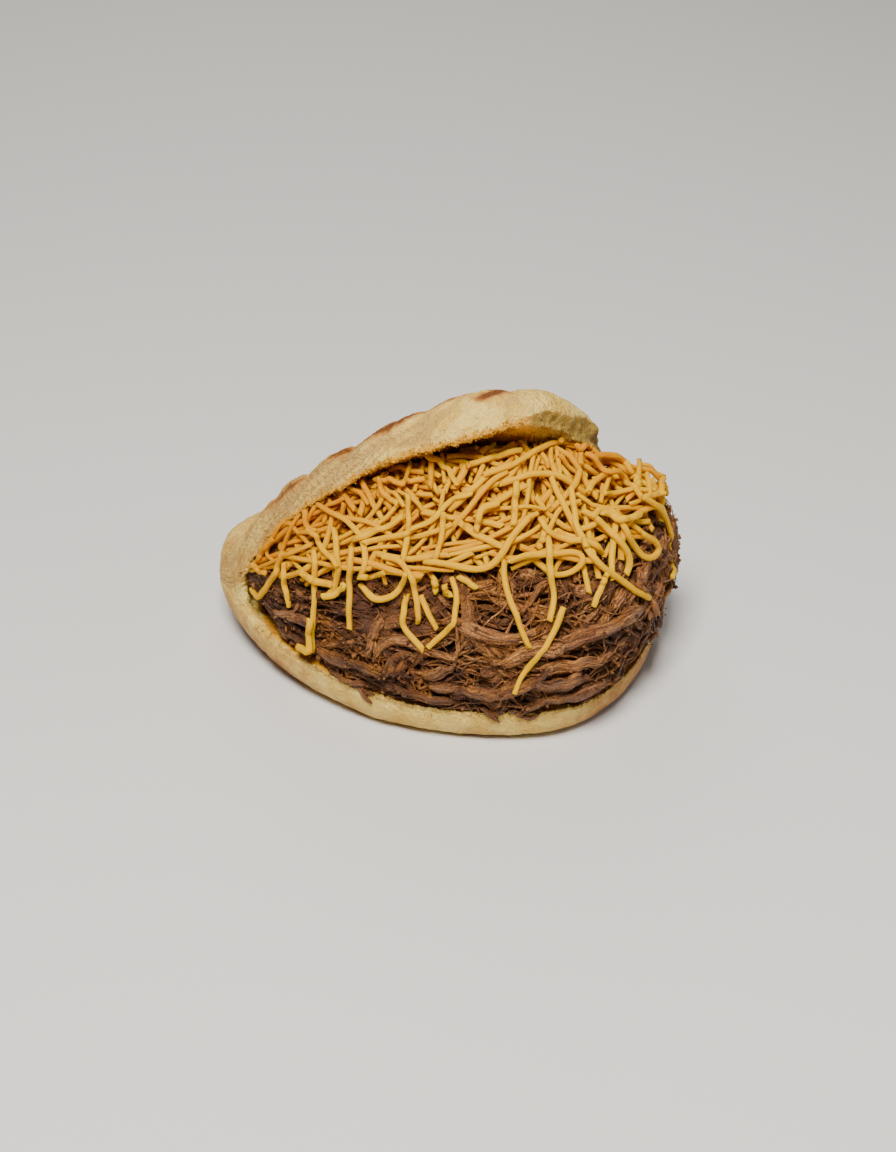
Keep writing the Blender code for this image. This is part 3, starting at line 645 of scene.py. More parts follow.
def bread_rings():
    """The split bread's sections, one ring for each station, with what each point is.

    Returns the places, the same places unfolded, and the share of each kind of surface:
    cut (the crumb inside the pocket), wall (the lid's front side) and thin (0 at the two tips).
    """
    x = (-HALF_LENGTH * np.cos(np.linspace(0.0, np.pi, STATIONS)))[:, None]
    front, back, lid_front, root = front_edge(x), back_edge(x), lid_edge(x), slot_root(x)
    d = np.clip((HALF_LENGTH - np.abs(x)) / RIM_DEPTH, 0.0, 1.0)
    thin = (1.0 - (1.0 - d) ** RIM_POWER) ** (1.0 / RIM_POWER)
    open_width = np.clip((root - lid_front) / EDGE_OPENS, 0.0, 1.0)
    ragged_lid = np.minimum(lid_front + (LID_EDGE_IN + edge_wander(x, 5)) * open_width, root)
    ragged_low = np.minimum(front + (LOW_EDGE_IN + 0.5 * edge_wander(x, 25)) * open_width, root)

    low_y, low_away = crust_line(front, back, LOWER_THICK * thin)
    low_y[:, 0:1] = np.maximum(low_y[:, 0:1], 0.6 * front + 0.4 * ragged_low)
    up_y, up_away = crust_line(lid_front, back, UPPER_THICK * thin)
    share = up_away / UPPER_THICK
    near_front = np.clip(1.0 - (up_y - lid_front) / RIM_DEPTH, 0.0, 1.0)
    up_the_tear = np.clip(share / tear_line(x), 0.0, 1.0)
    torn = (tear_line(x) - BARE_BAND) / TORN_BAND * thin
    recess = np.minimum(TORN_RECESS * np.clip(torn, 0.0, 1.0), 0.6 * np.maximum(root - ragged_lid, 0.0))
    up_y = up_y + near_front * recess * (1.0 - up_the_tear ** 3)
    up_y = up_y + near_front ** 2 * (1.0 - share) ** 2 * (ragged_lid - lid_front)
    ragged_lid = ragged_lid + recess[:, :1]

    slot_share = np.linspace(0.0, 1.0, SLOT_ROWS + 2)[1:-1][None] ** 1.35
    lid_slot_y = ragged_lid + (root - ragged_lid) * slot_share
    low_slot_y = (ragged_low + (root - ragged_low) * slot_share)[:, ::-1]
    hang = lip_drop(x, np.maximum(up_y - lid_front, 0.0)) * (1.0 - share) ** 1.5
    lid_out = fold_lid(x + 0.0 * up_y, up_y, up_away - hang)
    lid_in = fold_lid(x + 0.0 * lid_slot_y, lid_slot_y, -lip_drop(x, lid_slot_y - ragged_lid) * open_width)
    round_depth, round_reach = LOW_EDGE_ROUND
    floor_z = LOWER_THICK - round_depth * bell((low_slot_y - front) / round_reach) * open_width

    pieces = [      # folded Y and Z, Y and Z unfolded, cut, wall
        (low_y, LOWER_THICK - low_away, low_y, -low_away, 0.0, 0.0),
        (lid_out[0][:, ::-1], lid_out[1][:, ::-1], up_y[:, ::-1], up_away[:, ::-1], 0.0, near_front[:, ::-1]),
        (lid_in[0], lid_in[1], lid_slot_y, 0.0 * lid_slot_y, 1.0, 0.0),
        (root, LOWER_THICK + 0.0 * root, root, 0.0 * root, 1.0, 0.0),
        (low_slot_y, floor_z, low_slot_y, 0.0 * low_slot_y, 1.0, 0.0),
    ]
    y, z, flat_y, flat_z, cut, wall = (
        np.hstack([piece[n] + 0.0 * piece[0] for piece in pieces]) for n in range(6))
    upper = np.hstack([np.full_like(piece[0], float(n in (1, 2))) for n, piece in enumerate(pieces)])
    wide_x = np.repeat(x, y.shape[1], axis=1)
    rings = np.stack([wide_x, y, z + lift(wide_x)], axis=-1)
    flat = np.stack([wide_x, flat_y, flat_z], axis=-1)
    at_corner = bell((wide_x - CORNER_START - 0.5 * CORNER_RUN) / CORNER_WIDTH)
    at_corner = at_corner * upper * (wall ** 2)
    heights, reach = np.transpose(CORNER_TIPS)
    jagged = waves(np.stack([flat_z, 0.0 * flat_z, 0.0 * flat_z], axis=-1), CORNER_JAGS, 95)
    rings[..., 0] += at_corner * (np.interp(flat_z / UPPER_THICK, heights, reach) + jagged)
    left_end = smooth((SOFT_START - wide_x) / SOFT_RUN) * smooth((SOFT_WIDTH - (flat_y - front)) / (5.0 * MM))
    rings = softened(rings, left_end)
    return rings, flat, dict(cut=cut, wall=wall, upper=upper, thin=thin + 0.0 * y,
                             lid_front=lid_front + 0.0 * y, front=front + 0.0 * y)


def bread_relief(rings, flat, kind, crust_relief, crumb_relief):
    """How far each point stands out or in: soft swells on the crust, creases, and rough crumb.

    Also gives how deep in a crease each point is, from 0 to 1, which paints shade into the creases.
    """
    skin = waves(rings, CRUST_SWELLS, 1) + crust_relief * rough(rings, CRUST_GRAIN, 3)
    share = np.clip(flat[..., 2] / UPPER_THICK, 0.0, 1.0)
    from_edge = flat[..., 1] - kind["lid_front"]
    shoulder = np.exp(-np.clip(from_edge - 8.0 * MM, 0.0, None) / (7.0 * MM)) * kind["upper"]
    bend = waves(rings, CREASE_BEND, 8)
    crease = 0.0
    for place, slant, width, depth in CREASES:
        d = (rings[..., 0] - place + slant * (1.0 - share) + bend) / width
        d = np.where(d > 0.0, d / CREASE_LEAN, -d)
        crease = crease - depth * np.exp(-d) * (0.30 + 0.70 * share)
        crease = crease - 0.4 * depth * bell(d / 2.5) * share
    path = from_edge + share * UPPER_THICK + waves(rings, WRINKLE_BEND, 92)
    across = path - WRINKLE_SLANT * rings[..., 0]
    left = smooth((14.0 * MM - rings[..., 0]) / (40.0 * MM))
    for turn, strength in ((1.0, 1.0), (2.3, 0.45)):
        folds = np.stack([rings[..., 0] / WRINKLE_SIZE[0], across / WRINKLE_SIZE[1], 0.0 * across], axis=-1)
        ridge = (1.0 - np.abs(noise(folds * turn, 1.0, 91))) ** 3
        crease = crease - strength * WRINKLE_DEPTH * ridge * (0.30 + 0.70 * left)
    broad, fine = rough(rings, CRUMB_GRAIN[0], 4), rough(rings, CRUMB_GRAIN[1], 14, 2)
    crumb = crumb_relief * (broad + 1.1 * np.abs(fine) - 0.4)
    bare = smooth((tear_line(rings[..., 0]) - share) / 0.10 + 0.5) * kind["upper"] * (kind["wall"] > 0.0)
    low_cut = bell((flat[..., 1] - kind["front"]) / (2.0 * MM)) * (1.0 - kind["upper"])
    low_cut = low_cut * bell(flat[..., 2] / (1.6 * MM))
    crumbly = np.clip(kind["cut"] + 0.9 * bare + 0.8 * low_cut, 0.0, 1.0)
    crease = crease * shoulder * (1.0 - kind["cut"])
    relief = ((skin + crease) * (1.0 - crumbly) + crumb * crumbly) * kind["thin"]
    return relief, smooth(-crease / (1.2 * MM) - 0.15)


def toast_and_shade(flat, kind):
    """How browned each point is, painted shade included: listed toast spots by the lid's edge, broad
    griddle patches, toast and painted shade towards the base's bottom, a darker left end, and painted
    shade on the right part of the base's rim.
    """
    from_edge = flat[..., 1] - kind["lid_front"]
    below = WALL_TOP - from_edge - np.clip(flat[..., 2], 0.0, UPPER_THICK)
    warp = waves(flat, TOAST_WARP, 21)
    spots = 0.0
    for place, down, half_length, half_width, strength in TOAST_SPOTS:
        d = ((flat[..., 0] + warp - place) / half_length) ** 2 + ((below + warp - down) / half_width) ** 2
        spots = spots + strength * np.exp(-d) * kind["upper"]
    inside = smooth((from_edge - 9.0 * MM) / (10.0 * MM))
    back_in = smooth((back_edge(flat[..., 0]) - flat[..., 1] - 4.0 * MM) / (10.0 * MM))
    patch = smooth((rough(flat, 24 * MM, 31) - 0.02) / 0.55) * 0.9 + 0.35 * smooth(noise(flat, 7 * MM, 33))
    griddle = patch * inside * back_in * np.clip(np.abs(flat[..., 2]) / (8.0 * MM), 0.0, 1.0)
    griddle = griddle * smooth((flat[..., 0] + 50.0 * MM) / (12.0 * MM))
    low = np.clip(-flat[..., 2] / LOWER_THICK, 0.0, 1.0) * (1.0 - kind["upper"])
    # toast and painted shade: darker towards the base's bottom
    base = 0.34 * low ** 2 + 0.30 * smooth(rough(flat, 9 * MM, 41) / 0.8) * low
    x = flat[..., 0]
    ends = END_BROWN * smooth((-36.0 * MM - x) / (14.0 * MM)) * (0.8 + 0.5 * noise(flat, 5 * MM, 43))
    # painted shade on the right part of the base's rim
    base = base + RIM_SHADE * smooth((x - 4.0 * MM) / (30.0 * MM)) * (1.0 - kind["upper"])
    return np.clip(spots + griddle + base + ends, 0.0, 1.4) * (1.0 - kind["cut"])


# ================================ The cores of the fillings ================================

def under_lid(x, y, z):
    """Heights of a filling's section points, lowered to inside the lid where they would come out of it."""
    slot_y = lid_edge(x) + (slot_root(x) - lid_edge(x)) * np.linspace(0.0, 1.0, 12)[None]
    lid_y, lid_z = fold_lid(x + 0.0 * slot_y, slot_y, 0.0 * slot_y)
    lowered = z.copy()
    for row in np.nonzero((x[:, 0] > END_RUN - HALF_LENGTH) & (x[:, 0] < COVER_END))[0]:
        ceiling = np.interp(y[row], lid_y[row], lid_z[row])
        covered = y[row] > lid_y[row, 0]
        lowered[row] = np.where(covered, np.minimum(z[row], ceiling + INTO_LID), z[row])
    return lowered


def ball_rings(size, grow):
    """A filling's core: each section is four quarter ovals about the ridge line, grown all round."""
    w = -np.cos(np.linspace(0.0, np.pi, BALL_STATIONS))[:, None]
    x = np.where(w < 0.0, size["left"] + grow, size["right"] + grow) * w
    full = swell(w, np.where(w < 0.0, size["left_power"], size["right_power"]))
    edge_x = w * HALF_LENGTH
    front = front_edge(edge_x) + (size["front_in"] - grow) * full
    ridge = -size["ridge"] * full - SKEW * w
    inset = size["back_in"] * swell(w, BACK_FULLNESS)
    back = np.maximum(back_edge(edge_x) - inset, ridge) + grow * full
    a = np.linspace(0.0, 2 * np.pi, BALL_SIDES, endpoint=False)[None]
    upper = np.where(np.cos(a) > 0.0, size["power"], size["back_power"])
    power = np.where(np.sin(a) > 0.0, upper, size["low_power"])
    across = np.abs(np.cos(a)) ** (2.0 / power)
    upward = np.sign(np.sin(a)) * np.abs(np.sin(a)) ** (2.0 / power)
    y = np.where(np.cos(a) > 0.0, ridge - (ridge - front) * across, ridge + (back - ridge) * across)
    above = size["top"] - size["middle"] + grow
    below = size["middle"] - size["bottom"] + grow
    middle = size["middle"] + size["ends_rise"] * w
    z = middle + np.where(upward > 0.0, above, below) * upward * full
    z = under_lid(x, y, z)
    return np.stack([np.repeat(x, BALL_SIDES, axis=1), y, z + lift(x)], axis=-1)


# ================================ The heap and what lies on it ================================

def grid_tree(rings):
    """A search tree over a grid of closed rings."""
    count, sides, _ = rings.shape
    return BVHTree.FromPolygons(rings.reshape(-1, 3).tolist(), ring_quads(count, sides).tolist())


def axis_start(place):
    """Where the ray for each place starts, on the axis inside the fillings."""
    lean = AXIS_LEAN * np.maximum(AXIS_BEND - place, 0.0)
    return np.stack([np.minimum(place, AXIS_END), AXIS_Y + lean, AXIS_Z + 0.0 * place], axis=-1)


def axis_direction(place, angle):
    """The ray's direction: turned by angle about the axis, and round its right end past AXIS_END."""
    round_end = np.maximum(place - AXIS_END, 0.0) / END_RADIUS
    across = np.cos(round_end)
    return np.stack([np.sin(round_end), -across * np.cos(angle), across * np.sin(angle)], axis=-1)


def to_heap(points):
    """Place, angle and distance of points, the reverse of start plus distance times direction."""
    x = points[..., 0]
    start = axis_start(np.minimum(x, AXIS_END))
    v = points - start
    beyond = x > AXIS_END
    distance = np.where(beyond, np.linalg.norm(v, axis=-1), np.hypot(v[..., 1], v[..., 2]))
    round_end = np.arcsin(np.clip(np.where(beyond, v[..., 0] / np.maximum(distance, 1e-9), 0.0), -1, 1))
    place = np.where(beyond, AXIS_END + round_end * END_RADIUS, x)
    angle = np.arctan2(v[..., 2], -v[..., 1])
    return place, np.where(angle < TURN_SPAN[1] - 2.0 * np.pi, angle + 2.0 * np.pi, angle), distance


class Heap:
    """How far out the heap reaches along each ray, kept on a grid over place and angle."""

    def __init__(self):
        self.places = np.arange(*PLACE_SPAN, CELL)
        self.angles = np.arange(*TURN_SPAN, CELL_TURN)
        self.top = np.zeros((len(self.places), len(self.angles)))
        self.roof = np.full_like(self.top, FAR)

    def surface(self):
        """Points of the heap's surface on the whole grid."""
        place, angle = np.meshgrid(self.places, self.angles, indexing="ij")
        return axis_start(place) + axis_direction(place, angle) * self.top[..., None]

    def cell(self, place, angle):
        """Nearest grid cell."""
        i = np.clip(np.rint((place - PLACE_SPAN[0]) / CELL), 0, len(self.places) - 1).astype(int)
        j = np.clip(np.rint((angle - TURN_SPAN[0]) / CELL_TURN), 0, len(self.angles) - 1).astype(int)
        return i, j

    def cast(self, tree, inward, step=4):
        """Distance along each ray to a surface, 0 where it misses, from a coarse grid blended finely."""
        rows, columns = self.places[::step], self.angles[::step]
        found = np.zeros((len(rows), len(columns)))
        for i, place in enumerate(rows):
            start = Vector(axis_start(np.array(place)))
            for j, angle in enumerate(columns):
                direction = Vector(axis_direction(np.array(place), np.array(angle)))
                if inward:
                    hit = tree.ray_cast(start + direction * FAR, -direction, FAR)
                else:
                    hit = tree.ray_cast(start, direction, FAR)
                if hit[0] is not None:
                    found[i, j] = (hit[0] - start).length
                elif not inward:
                    found[i, j] = FAR
        fine = np.array([np.interp(self.places, rows, column) for column in found.T]).T
        return np.array([np.interp(self.angles, columns, row) for row in fine])

    def read(self, grid, place, angle):
        """Grid value at each (place, angle)."""
        i, j = self.cell(place, angle)
        return grid[i, j]

    def stamp(self, place, angle, height, radius):
        """Raises the heap under a strand: a round ridge of that radius along its path."""
        slope = unit(np.stack([np.gradient(place), np.gradient(angle) * height], axis=-1))
        for offset in np.linspace(-1.0, 1.0, 9):
            side = offset * radius
            i, j = self.cell(place - slope[:, 1] * side, angle + slope[:, 0] * side / height)
            ridge = height + radius * np.sqrt(max(1.0 - offset ** 2, 0.0)) * 0.9
            np.maximum.at(self.top, (i, j), ridge)

    def rest(self, place, angle, radius, sink, passes):
        """Heights of a strand laid along a path: on what is there, evened out like a stiff thread."""
        height = self.read(self.top, place, angle) + radius
        slope = unit(np.stack([np.gradient(place), np.gradient(angle) * height], axis=-1))
        floor = np.zeros_like(height)
        for offset in (-0.7, 0.0, 0.7):
            side = offset * radius
            under = self.read(self.top, place - slope[:, 1] * side, angle + slope[:, 0] * side / height)
            floor = np.maximum(floor, under + radius * (1.0 - sink))
        height = floor.copy()
        for _ in range(passes):
            middle = (height[:-2] + 2.0 * height[1:-1] + height[2:]) / 4.0
            first = np.minimum(2.0 * middle[:1] - middle[1:2], middle[:1] + 0.3 * radius)
            last = np.minimum(2.0 * middle[-1:] - middle[-2:-1], middle[-1:] + 0.3 * radius)
            height = np.maximum(np.concatenate([first, middle, last]), floor)
        return height


def strewn(rng, count, along, end_turn, turn):
    """Random places along the axis and angles round it: end_turn past AXIS_END and turn before."""
    place = rng.uniform(*along, count)
    return place, np.where(place > AXIS_END, rng.uniform(*end_turn, count), rng.uniform(*turn, count))


def walk(rng, place, angle, heading, length, curl, wobble, steps):
    """Paths over the heap: each step turns by its curl and a little at random.

    The inputs are arrays, one value for each path; the paths are (paths, steps + 1) and pass
    through the given place and angle half way.
    """
    places, angles = [place], [angle]
    step = length / steps
    drift = np.zeros_like(place)
    for _ in range(steps):
        round_end = np.clip(place - AXIS_END, 0.0, 1.3 * END_RADIUS) / END_RADIUS
        place = place + step * np.cos(heading) * np.where(place > AXIS_END, END_RADIUS / HEAP_RADIUS, 1.0)
        angle = angle + step * np.sin(heading) / (HEAP_RADIUS * np.cos(round_end))
        drift = 0.75 * drift + rng.normal(0.0, wobble, place.shape)
        heading = heading + curl * step + drift
        places.append(place)
        angles.append(angle)
    places, angles = np.stack(places, axis=-1), np.stack(angles, axis=-1)
    half = steps // 2
    places = places - places[:, half:half + 1] + places[:, :1]
    return places, angles - angles[:, half:half + 1] + angles[:, :1]


def longest_run(good):
    """Start and end of the longest stretch of True values."""
    edges = np.flatnonzero(np.diff(np.concatenate([[0], good.astype(int), [0]])))
    if len(edges) == 0:
        return 0, 0
    starts, ends = edges[::2], edges[1::2]
    best = np.argmax(ends - starts)
    return starts[best], ends[best]


def camera_axes():
    """The camera's place and its directions ahead, to the right and up."""
    place, target = np.array(CAMERA_PLACE), np.array(CAMERA_TARGET)
    ahead = unit(target - place)
    right = unit(np.cross(ahead, [0.0, 0.0, 1.0]))
    return place, ahead, right, np.cross(right, ahead)


def pixel_rays(pixels):
    """Directions from the camera through pixels of the photograph's frame."""
    _, ahead, right, up = camera_axes()
    offset = (np.asarray(pixels, dtype=float) - np.array(PHOTO_SIZE) / 2) / CAMERA_FOCAL
    return unit(ahead + offset[:, 0:1] * right - offset[:, 1:2] * up)


def to_pixels(points):
    """Where points fall in the photograph's frame."""
    place, ahead, right, up = camera_axes()
    away = points - place
    depth = away @ ahead
    return (PHOTO_SIZE[0] / 2 + CAMERA_FOCAL * (away @ right) / depth,
            PHOTO_SIZE[1] / 2 - CAMERA_FOCAL * (away @ up) / depth)


def curve_through(bends, count):
    """A smooth line through the bends: a Catmull-Rom curve, then points evenly spread along it."""
    p = np.asarray(bends, dtype=float)
    p = np.concatenate([[2 * p[0] - p[1]], p, [2 * p[-1] - p[-2]]])
    t = np.linspace(0.0, 1.0, 24, endpoint=False)[:, None]
    parts = []
    for a, b, c, d in zip(p[:-3], p[1:-2], p[2:-1], p[3:]):
        parts.append(0.5 * (2 * b + (c - a) * t + (2 * a - 5 * b + 4 * c - d) * t ** 2
                            + (3 * b - a - 3 * c + d) * t ** 3))
    line = np.concatenate(parts + [p[-2:-1]])
    run = np.concatenate([[0.0], np.cumsum(np.linalg.norm(np.diff(line, axis=0), axis=1))])
    even = np.linspace(0.0, run[-1], count)
    return np.stack([np.interp(even, run, line[:, k]) for k in range(line.shape[1])], axis=-1)


def seen_on_heap(heap, bends, count):
    """Place and angle where the camera sees each point of a line drawn on the heap.

    Each ray is followed in small steps until it passes below the heap, or to where it comes nearest.
    Points that come nowhere near it are left out.
    """
    rays = pixel_rays(curve_through(bends, count))
    depth = np.arange(*VIEW_DEPTHS)
    points = np.array(CAMERA_PLACE) + rays[:, None, :] * depth[None, :, None]
    place, angle, distance = to_heap(points)
    above = distance - heap.read(heap.top, place, angle)
    outside = (place < PLACE_SPAN[0]) | (place > PLACE_SPAN[1])
    outside |= (angle < TURN_SPAN[0]) | (angle > TURN_SPAN[1])
    above = np.where(outside, 1.0, above)
    below = above < 0.0
    first = np.where(below.any(axis=1), below.argmax(axis=1), above.argmin(axis=1))
    rows = np.arange(count)
    near = above[rows, first] < NEAR_HEAP
    return place[rows, first][near], angle[rows, first][near]


def seen_on_bread(tree, bends, count):
    """Points and normals where the camera sees each point of a line drawn on the bread."""
    start = Vector(CAMERA_PLACE)
    hits = [tree.ray_cast(start, Vector(ray)) for ray in pixel_rays(curve_through(bends, count))]
    hits = [(hit[0][:], hit[1][:]) for hit in hits if hit[0] is not None]
    points, normals = np.array(hits).transpose(1, 0, 2)
    facing = np.sign((normals * (np.array(CAMERA_PLACE) - points)).sum(axis=1, keepdims=True))
    return points, normals * facing


def evened(values, passes):
    """A line of numbers with its small steps smoothed away, ends kept."""
    for _ in range(passes):
        values = np.concatenate([values[:1], (values[:-2] + 2 * values[1:-1] + values[2:]) / 4, values[-1:]])
    return values


def line_frame(centres, outward):
    """Directions along bent centre lines, to their side, and up: outward, but square to the line."""
    tangent = unit(np.gradient(centres, axis=1))
    up = unit(outward - (outward * tangent).sum(-1, keepdims=True) * tangent)
    return tangent, np.cross(tangent, up), up


def sections(centres, outward, half_width, half_height, twist, profile, relief=1.0):
    """Rings round bent centre lines.

    centres and outward are (tubes, rings, 3); half sizes and twist are (tubes, rings); profile is
    (sides, 2), the section's outline; relief scales it, (tubes, rings, sides). Each ring lies
    across its line, turned by the twist.
    """
    _, side, up = line_frame(centres, outward)
    c, s = np.cos(twist)[..., None], np.sin(twist)[..., None]
    across, tall = side * c + up * s, up * c - side * s
    u = profile[:, 0] * half_width[:, :, None] * relief
    v = profile[:, 1] * half_height[:, :, None] * relief
    return centres[:, :, None, :] + across[:, :, None, :] * u[..., None] + tall[:, :, None, :] * v[..., None]


def straightened(centres, half_width, profile, shift):
    """The same rings on straight lines: across, tall, and the length so far plus each line's shift."""
    run = np.cumsum(np.linalg.norm(np.diff(centres, axis=1, prepend=centres[:, :1]), axis=-1), axis=1)
    u = profile[:, 0][None, None, :] * half_width[:, :, None]
    v = profile[:, 1][None, None, :] * half_width[:, :, None]
    length = run[:, :, None] + shift[:, None, None] + 0.0 * u
    return np.stack([u + 7.3 * shift[:, None, None], v + 0.0 * u, length], axis=-1)


def turning(rng, count, rings, first, turn):
    """How far each ring is turned: a start anywhere in `first`, then an even turn of up to `turn`."""
    start = rng.uniform(*first, (count, 1))
    return start + rng.uniform(-turn, turn, (count, 1)) * np.linspace(0, 1, rings)


def rounded(sides, power):
    """A section between a circle (power 2) and a square."""
    a = (np.arange(sides) + 0.5) * 2 * np.pi / sides
    c, s = np.cos(a), np.sin(a)
    r = (np.abs(c) ** power + np.abs(s) ** power) ** (-1.0 / power)
    return np.stack([c * r, s * r], axis=-1)


def resampled(line, rings):
    """A path's points spread evenly over a number of rings."""
    t = np.linspace(0.0, len(line) - 1.0, rings)
    return np.stack([np.interp(t, np.arange(len(line)), line[:, k]) for k in range(line.shape[1])], axis=-1)


class Laid:
    """Centre lines, outward directions and radii of the strands laid so far."""

    def __init__(self, rings):
        self.rings = rings
        self.centres, self.outward, self.radius, self.tone = [], [], [], []

    def add(self, place, angle, height, radius, tone):
        """Keeps a strand of the heap, as points evenly spread along it."""
        direction = axis_direction(place, angle)
        self.keep(axis_start(place) + direction * height[:, None], direction, radius, tone)

    def keep(self, centre, outward, radius, tone):
        """Keeps a centre line and its outward directions."""
        both = resampled(np.concatenate([centre, outward], axis=1), self.rings)
        self.centres.append(both[:, :3])
        self.outward.append(both[:, 3:])
        self.radius.append(radius)
        self.tone.append(tone)

    def arrays(self, heap):
        """Everything as arrays. The tone falls, as painted shade, where a strand lies deep below the heap's
        finished top.
        """
        centres, outward = np.array(self.centres), np.array(self.outward)
        place, angle, height = to_heap(centres)
        depth = heap.read(heap.top, place, angle) - height - np.array(self.radius)[:, None]
        tone = np.array(self.tone)[:, None] * (1.0 - DEPTH_SHADE * smooth((depth - DEPTH_START) / DEPTH_RUN))
        return centres, outward, np.array(self.radius), tone


def lay(heap, laid, place, angle, radius, tone, cap, sink, passes, least, room, rise=0.0):
    """Lays one strand if it fits between what is there, the bread and the heap's outer shape.

    It sinks in by the share `sink` of its radius, its heights are evened `passes` times, and it keeps
    `room` from the bread. The stretch that fits is kept when it is at least `least` points long. Its
    last point stands `rise` above where it would rest.
    """
    if len(place) < least:
        return
    height = heap.rest(place, angle, radius, sink, passes) + rise * np.linspace(0.0, 1.0, len(place)) ** 2
    inside = (place > PLACE_SPAN[0] + CELL) & (place < PLACE_SPAN[1] - CELL)
    inside &= (angle > TURN_SPAN[0] + CELL_TURN) & (angle < TURN_SPAN[1] - CELL_TURN)
    fits = inside & (height + 0.8 * radius + room < heap.read(heap.roof, place, angle))
    fits &= height < heap.read(cap, place, angle)
    start, end = longest_run(fits)
    if end - start < least:
        return
    part = slice(start, end)
    heap.stamp(place[part], angle[part], height[part], radius)
    laid.add(place[part], angle[part], height[part], radius, tone)


# ================================ Shading ================================

class Value:
    """The output of a node. Sums and products of values are worked out by further nodes."""

    def __init__(self, shading, socket):
        self.shading, self.socket = shading, socket

    def __add__(self, other):
        return self.shading.maths("ADD", self, other)

    def __sub__(self, other):
        return self.shading.maths("SUBTRACT", self, other)

    def __mul__(self, other):
        return self.shading.maths("MULTIPLY", self, other)


class Shading:
    """A node tree, with short ways to add nodes to it. Each returns the new node's output."""

    def __init__(self, tree):
        self.tree = tree

    def fill(self, socket, value):
        """Links a socket, or sets its value."""
        if isinstance(value, Value):
            self.tree.links.new(value.socket, socket)
        elif socket.type == "RGBA" and len(value) == 3:
            socket.default_value = (*value, 1.0)
        else:
            socket.default_value = value

    def node(self, kind, output, inputs, **settings):
        """Adds a node with its properties and inputs."""
        made = self.tree.nodes.new(kind)
        for key, value in settings.items():
            setattr(made, key, value)
        for name, value in inputs.items():
            self.fill(made.inputs[name], value)
        return Value(self, made.outputs[output])

    def maths(self, operation, first, second, clamp=False):
        """A number worked out from two others."""
        return self.node("ShaderNodeMath", 0, {0: first, 1: second}, operation=operation, use_clamp=clamp)

    def mix(self, factor, first, second):
        """A colour between two: the first where the factor is 0."""
        return self.node("ShaderNodeMix", 2, {0: factor, 6: first, 7: second}, data_type="RGBA")

    def ramp(self, value, low, high):
        """0 at low, 1 at high, smooth between."""
        return self.node("ShaderNodeMapRange", "Result", {"Value": value, "From Min": low, "From Max": high},
                         interpolation_type="SMOOTHSTEP")

    def noise(self, vector, scale, detail=3.0, roughness=0.55):
        """Noise with `scale` bumps a metre."""
        return self.node("ShaderNodeTexNoise", "Fac",
                         {"Vector": vector, "Scale": scale, "Detail": detail, "Roughness": roughness})

    def bump(self, height, depth):
        """A normal from a height."""
        return self.node("ShaderNodeBump", "Normal", {"Height": height, "Distance": depth, "Strength": 1.0})

    def stored(self, name, output="Fac"):
        """A value stored on the mesh."""
        return self.node("ShaderNodeAttribute", output, {}, attribute_name=name)

    def place(self):
        """The piece's own coordinates."""
        return self.node("ShaderNodeTexCoord", "Object", {})

    def stretched(self, along):
        """Straightened coordinates squeezed lengthwise, so that noise on them runs along the strand."""
        return self.node("ShaderNodeMapping", "Vector",
                         {"Vector": self.stored("straight", "Vector"), "Scale": (1.0, 1.0, along)})

    def group(self, effect, *values):
        """A shared effect from GROUPS, with its inputs in order. Returns its two outputs."""
        name, inputs, outputs, build = GROUPS[effect]
        tree = bpy.data.node_groups.get(name) or new_group(name, inputs, outputs, build)
        given = dict(zip((label for label, _ in inputs), values))
        first = self.node("ShaderNodeGroup", 0, {}, node_tree=tree)
        made = first.socket.node
        for label, value in given.items():
            self.fill(made.inputs[label], value)
        return first, Value(self, made.outputs[1])


def new_group(name, inputs, outputs, build):
    """A node group: its sockets, and what build makes of its inputs."""
    group = bpy.data.node_groups.new(name, "ShaderNodeTree")
    for side, sockets in (("INPUT", inputs), ("OUTPUT", outputs)):
        for label, kind in sockets:
            group.interface.new_socket(name=label, in_out=side, socket_type="NodeSocket" + kind)
    shading = Shading(group)
    start, end = group.nodes.new("NodeGroupInput"), group.nodes.new("NodeGroupOutput")
    results = build(shading, *(Value(shading, start.outputs[label]) for label, _ in inputs))
    for (label, _), result in zip(outputs, results):
        shading.fill(end.inputs[label], result)
    return group


def mottle(s, vector, first, second, blotches, grain, amount):
    """A colour that drifts towards a second one in soft blotches and fine grain, and where it does."""
    broad, fine = s.noise(vector, blotches, 3.0, 0.5), s.noise(vector, grain, 3.0, 0.5)
    both = s.ramp(broad, 0.38, 0.66) + s.ramp(fine, 0.40, 0.68) * 0.6
    mask = s.maths("MULTIPLY", both, amount, clamp=True)
    return s.mix(mask, first, second), mask


def grain(s, vector, coarse, fine, depth):
    """Relief from two sizes of grain, as a normal and as a height."""
    height = s.noise(vector, coarse, 4.0, 0.5) + s.noise(vector, fine, 4.0, 0.5) * 0.5
    return s.bump(height, depth), height


GROUPS = {  # each shared effect: its group's name, its inputs, its outputs and how it is made
    "mottle": ("food_mottle",
               (("Vector", "Vector"), ("Colour", "Color"), ("Second", "Color"),
                ("Blotches", "Float"), ("Grain", "Float"), ("Amount", "Float")),
               (("Colour", "Color"), ("Mask", "Float")), mottle),
    "grain": ("food_grain",
              (("Vector", "Vector"), ("Coarse", "Float"), ("Fine", "Float"), ("Depth", "Float")),
              (("Normal", "Vector"), ("Height", "Float")), grain),
}


def new_material(name, roughness, specular, subsurface=0.0, radius=(0.004, 0.002, 0.001)):
    """A material with the values that are the same all over. Returns it and its shading."""
    material = bpy.data.materials.new(name)
    material.use_nodes = True
    shader = material.node_tree.nodes["Principled BSDF"]
    for socket, value in (("Roughness", roughness), ("Specular IOR Level", specular),
                          ("Subsurface Scale", 1.0), ("Subsurface Weight", subsurface),
                          ("Subsurface Radius", radius)):
        shader.inputs[socket].default_value = value
    return material, Shading(material.node_tree)


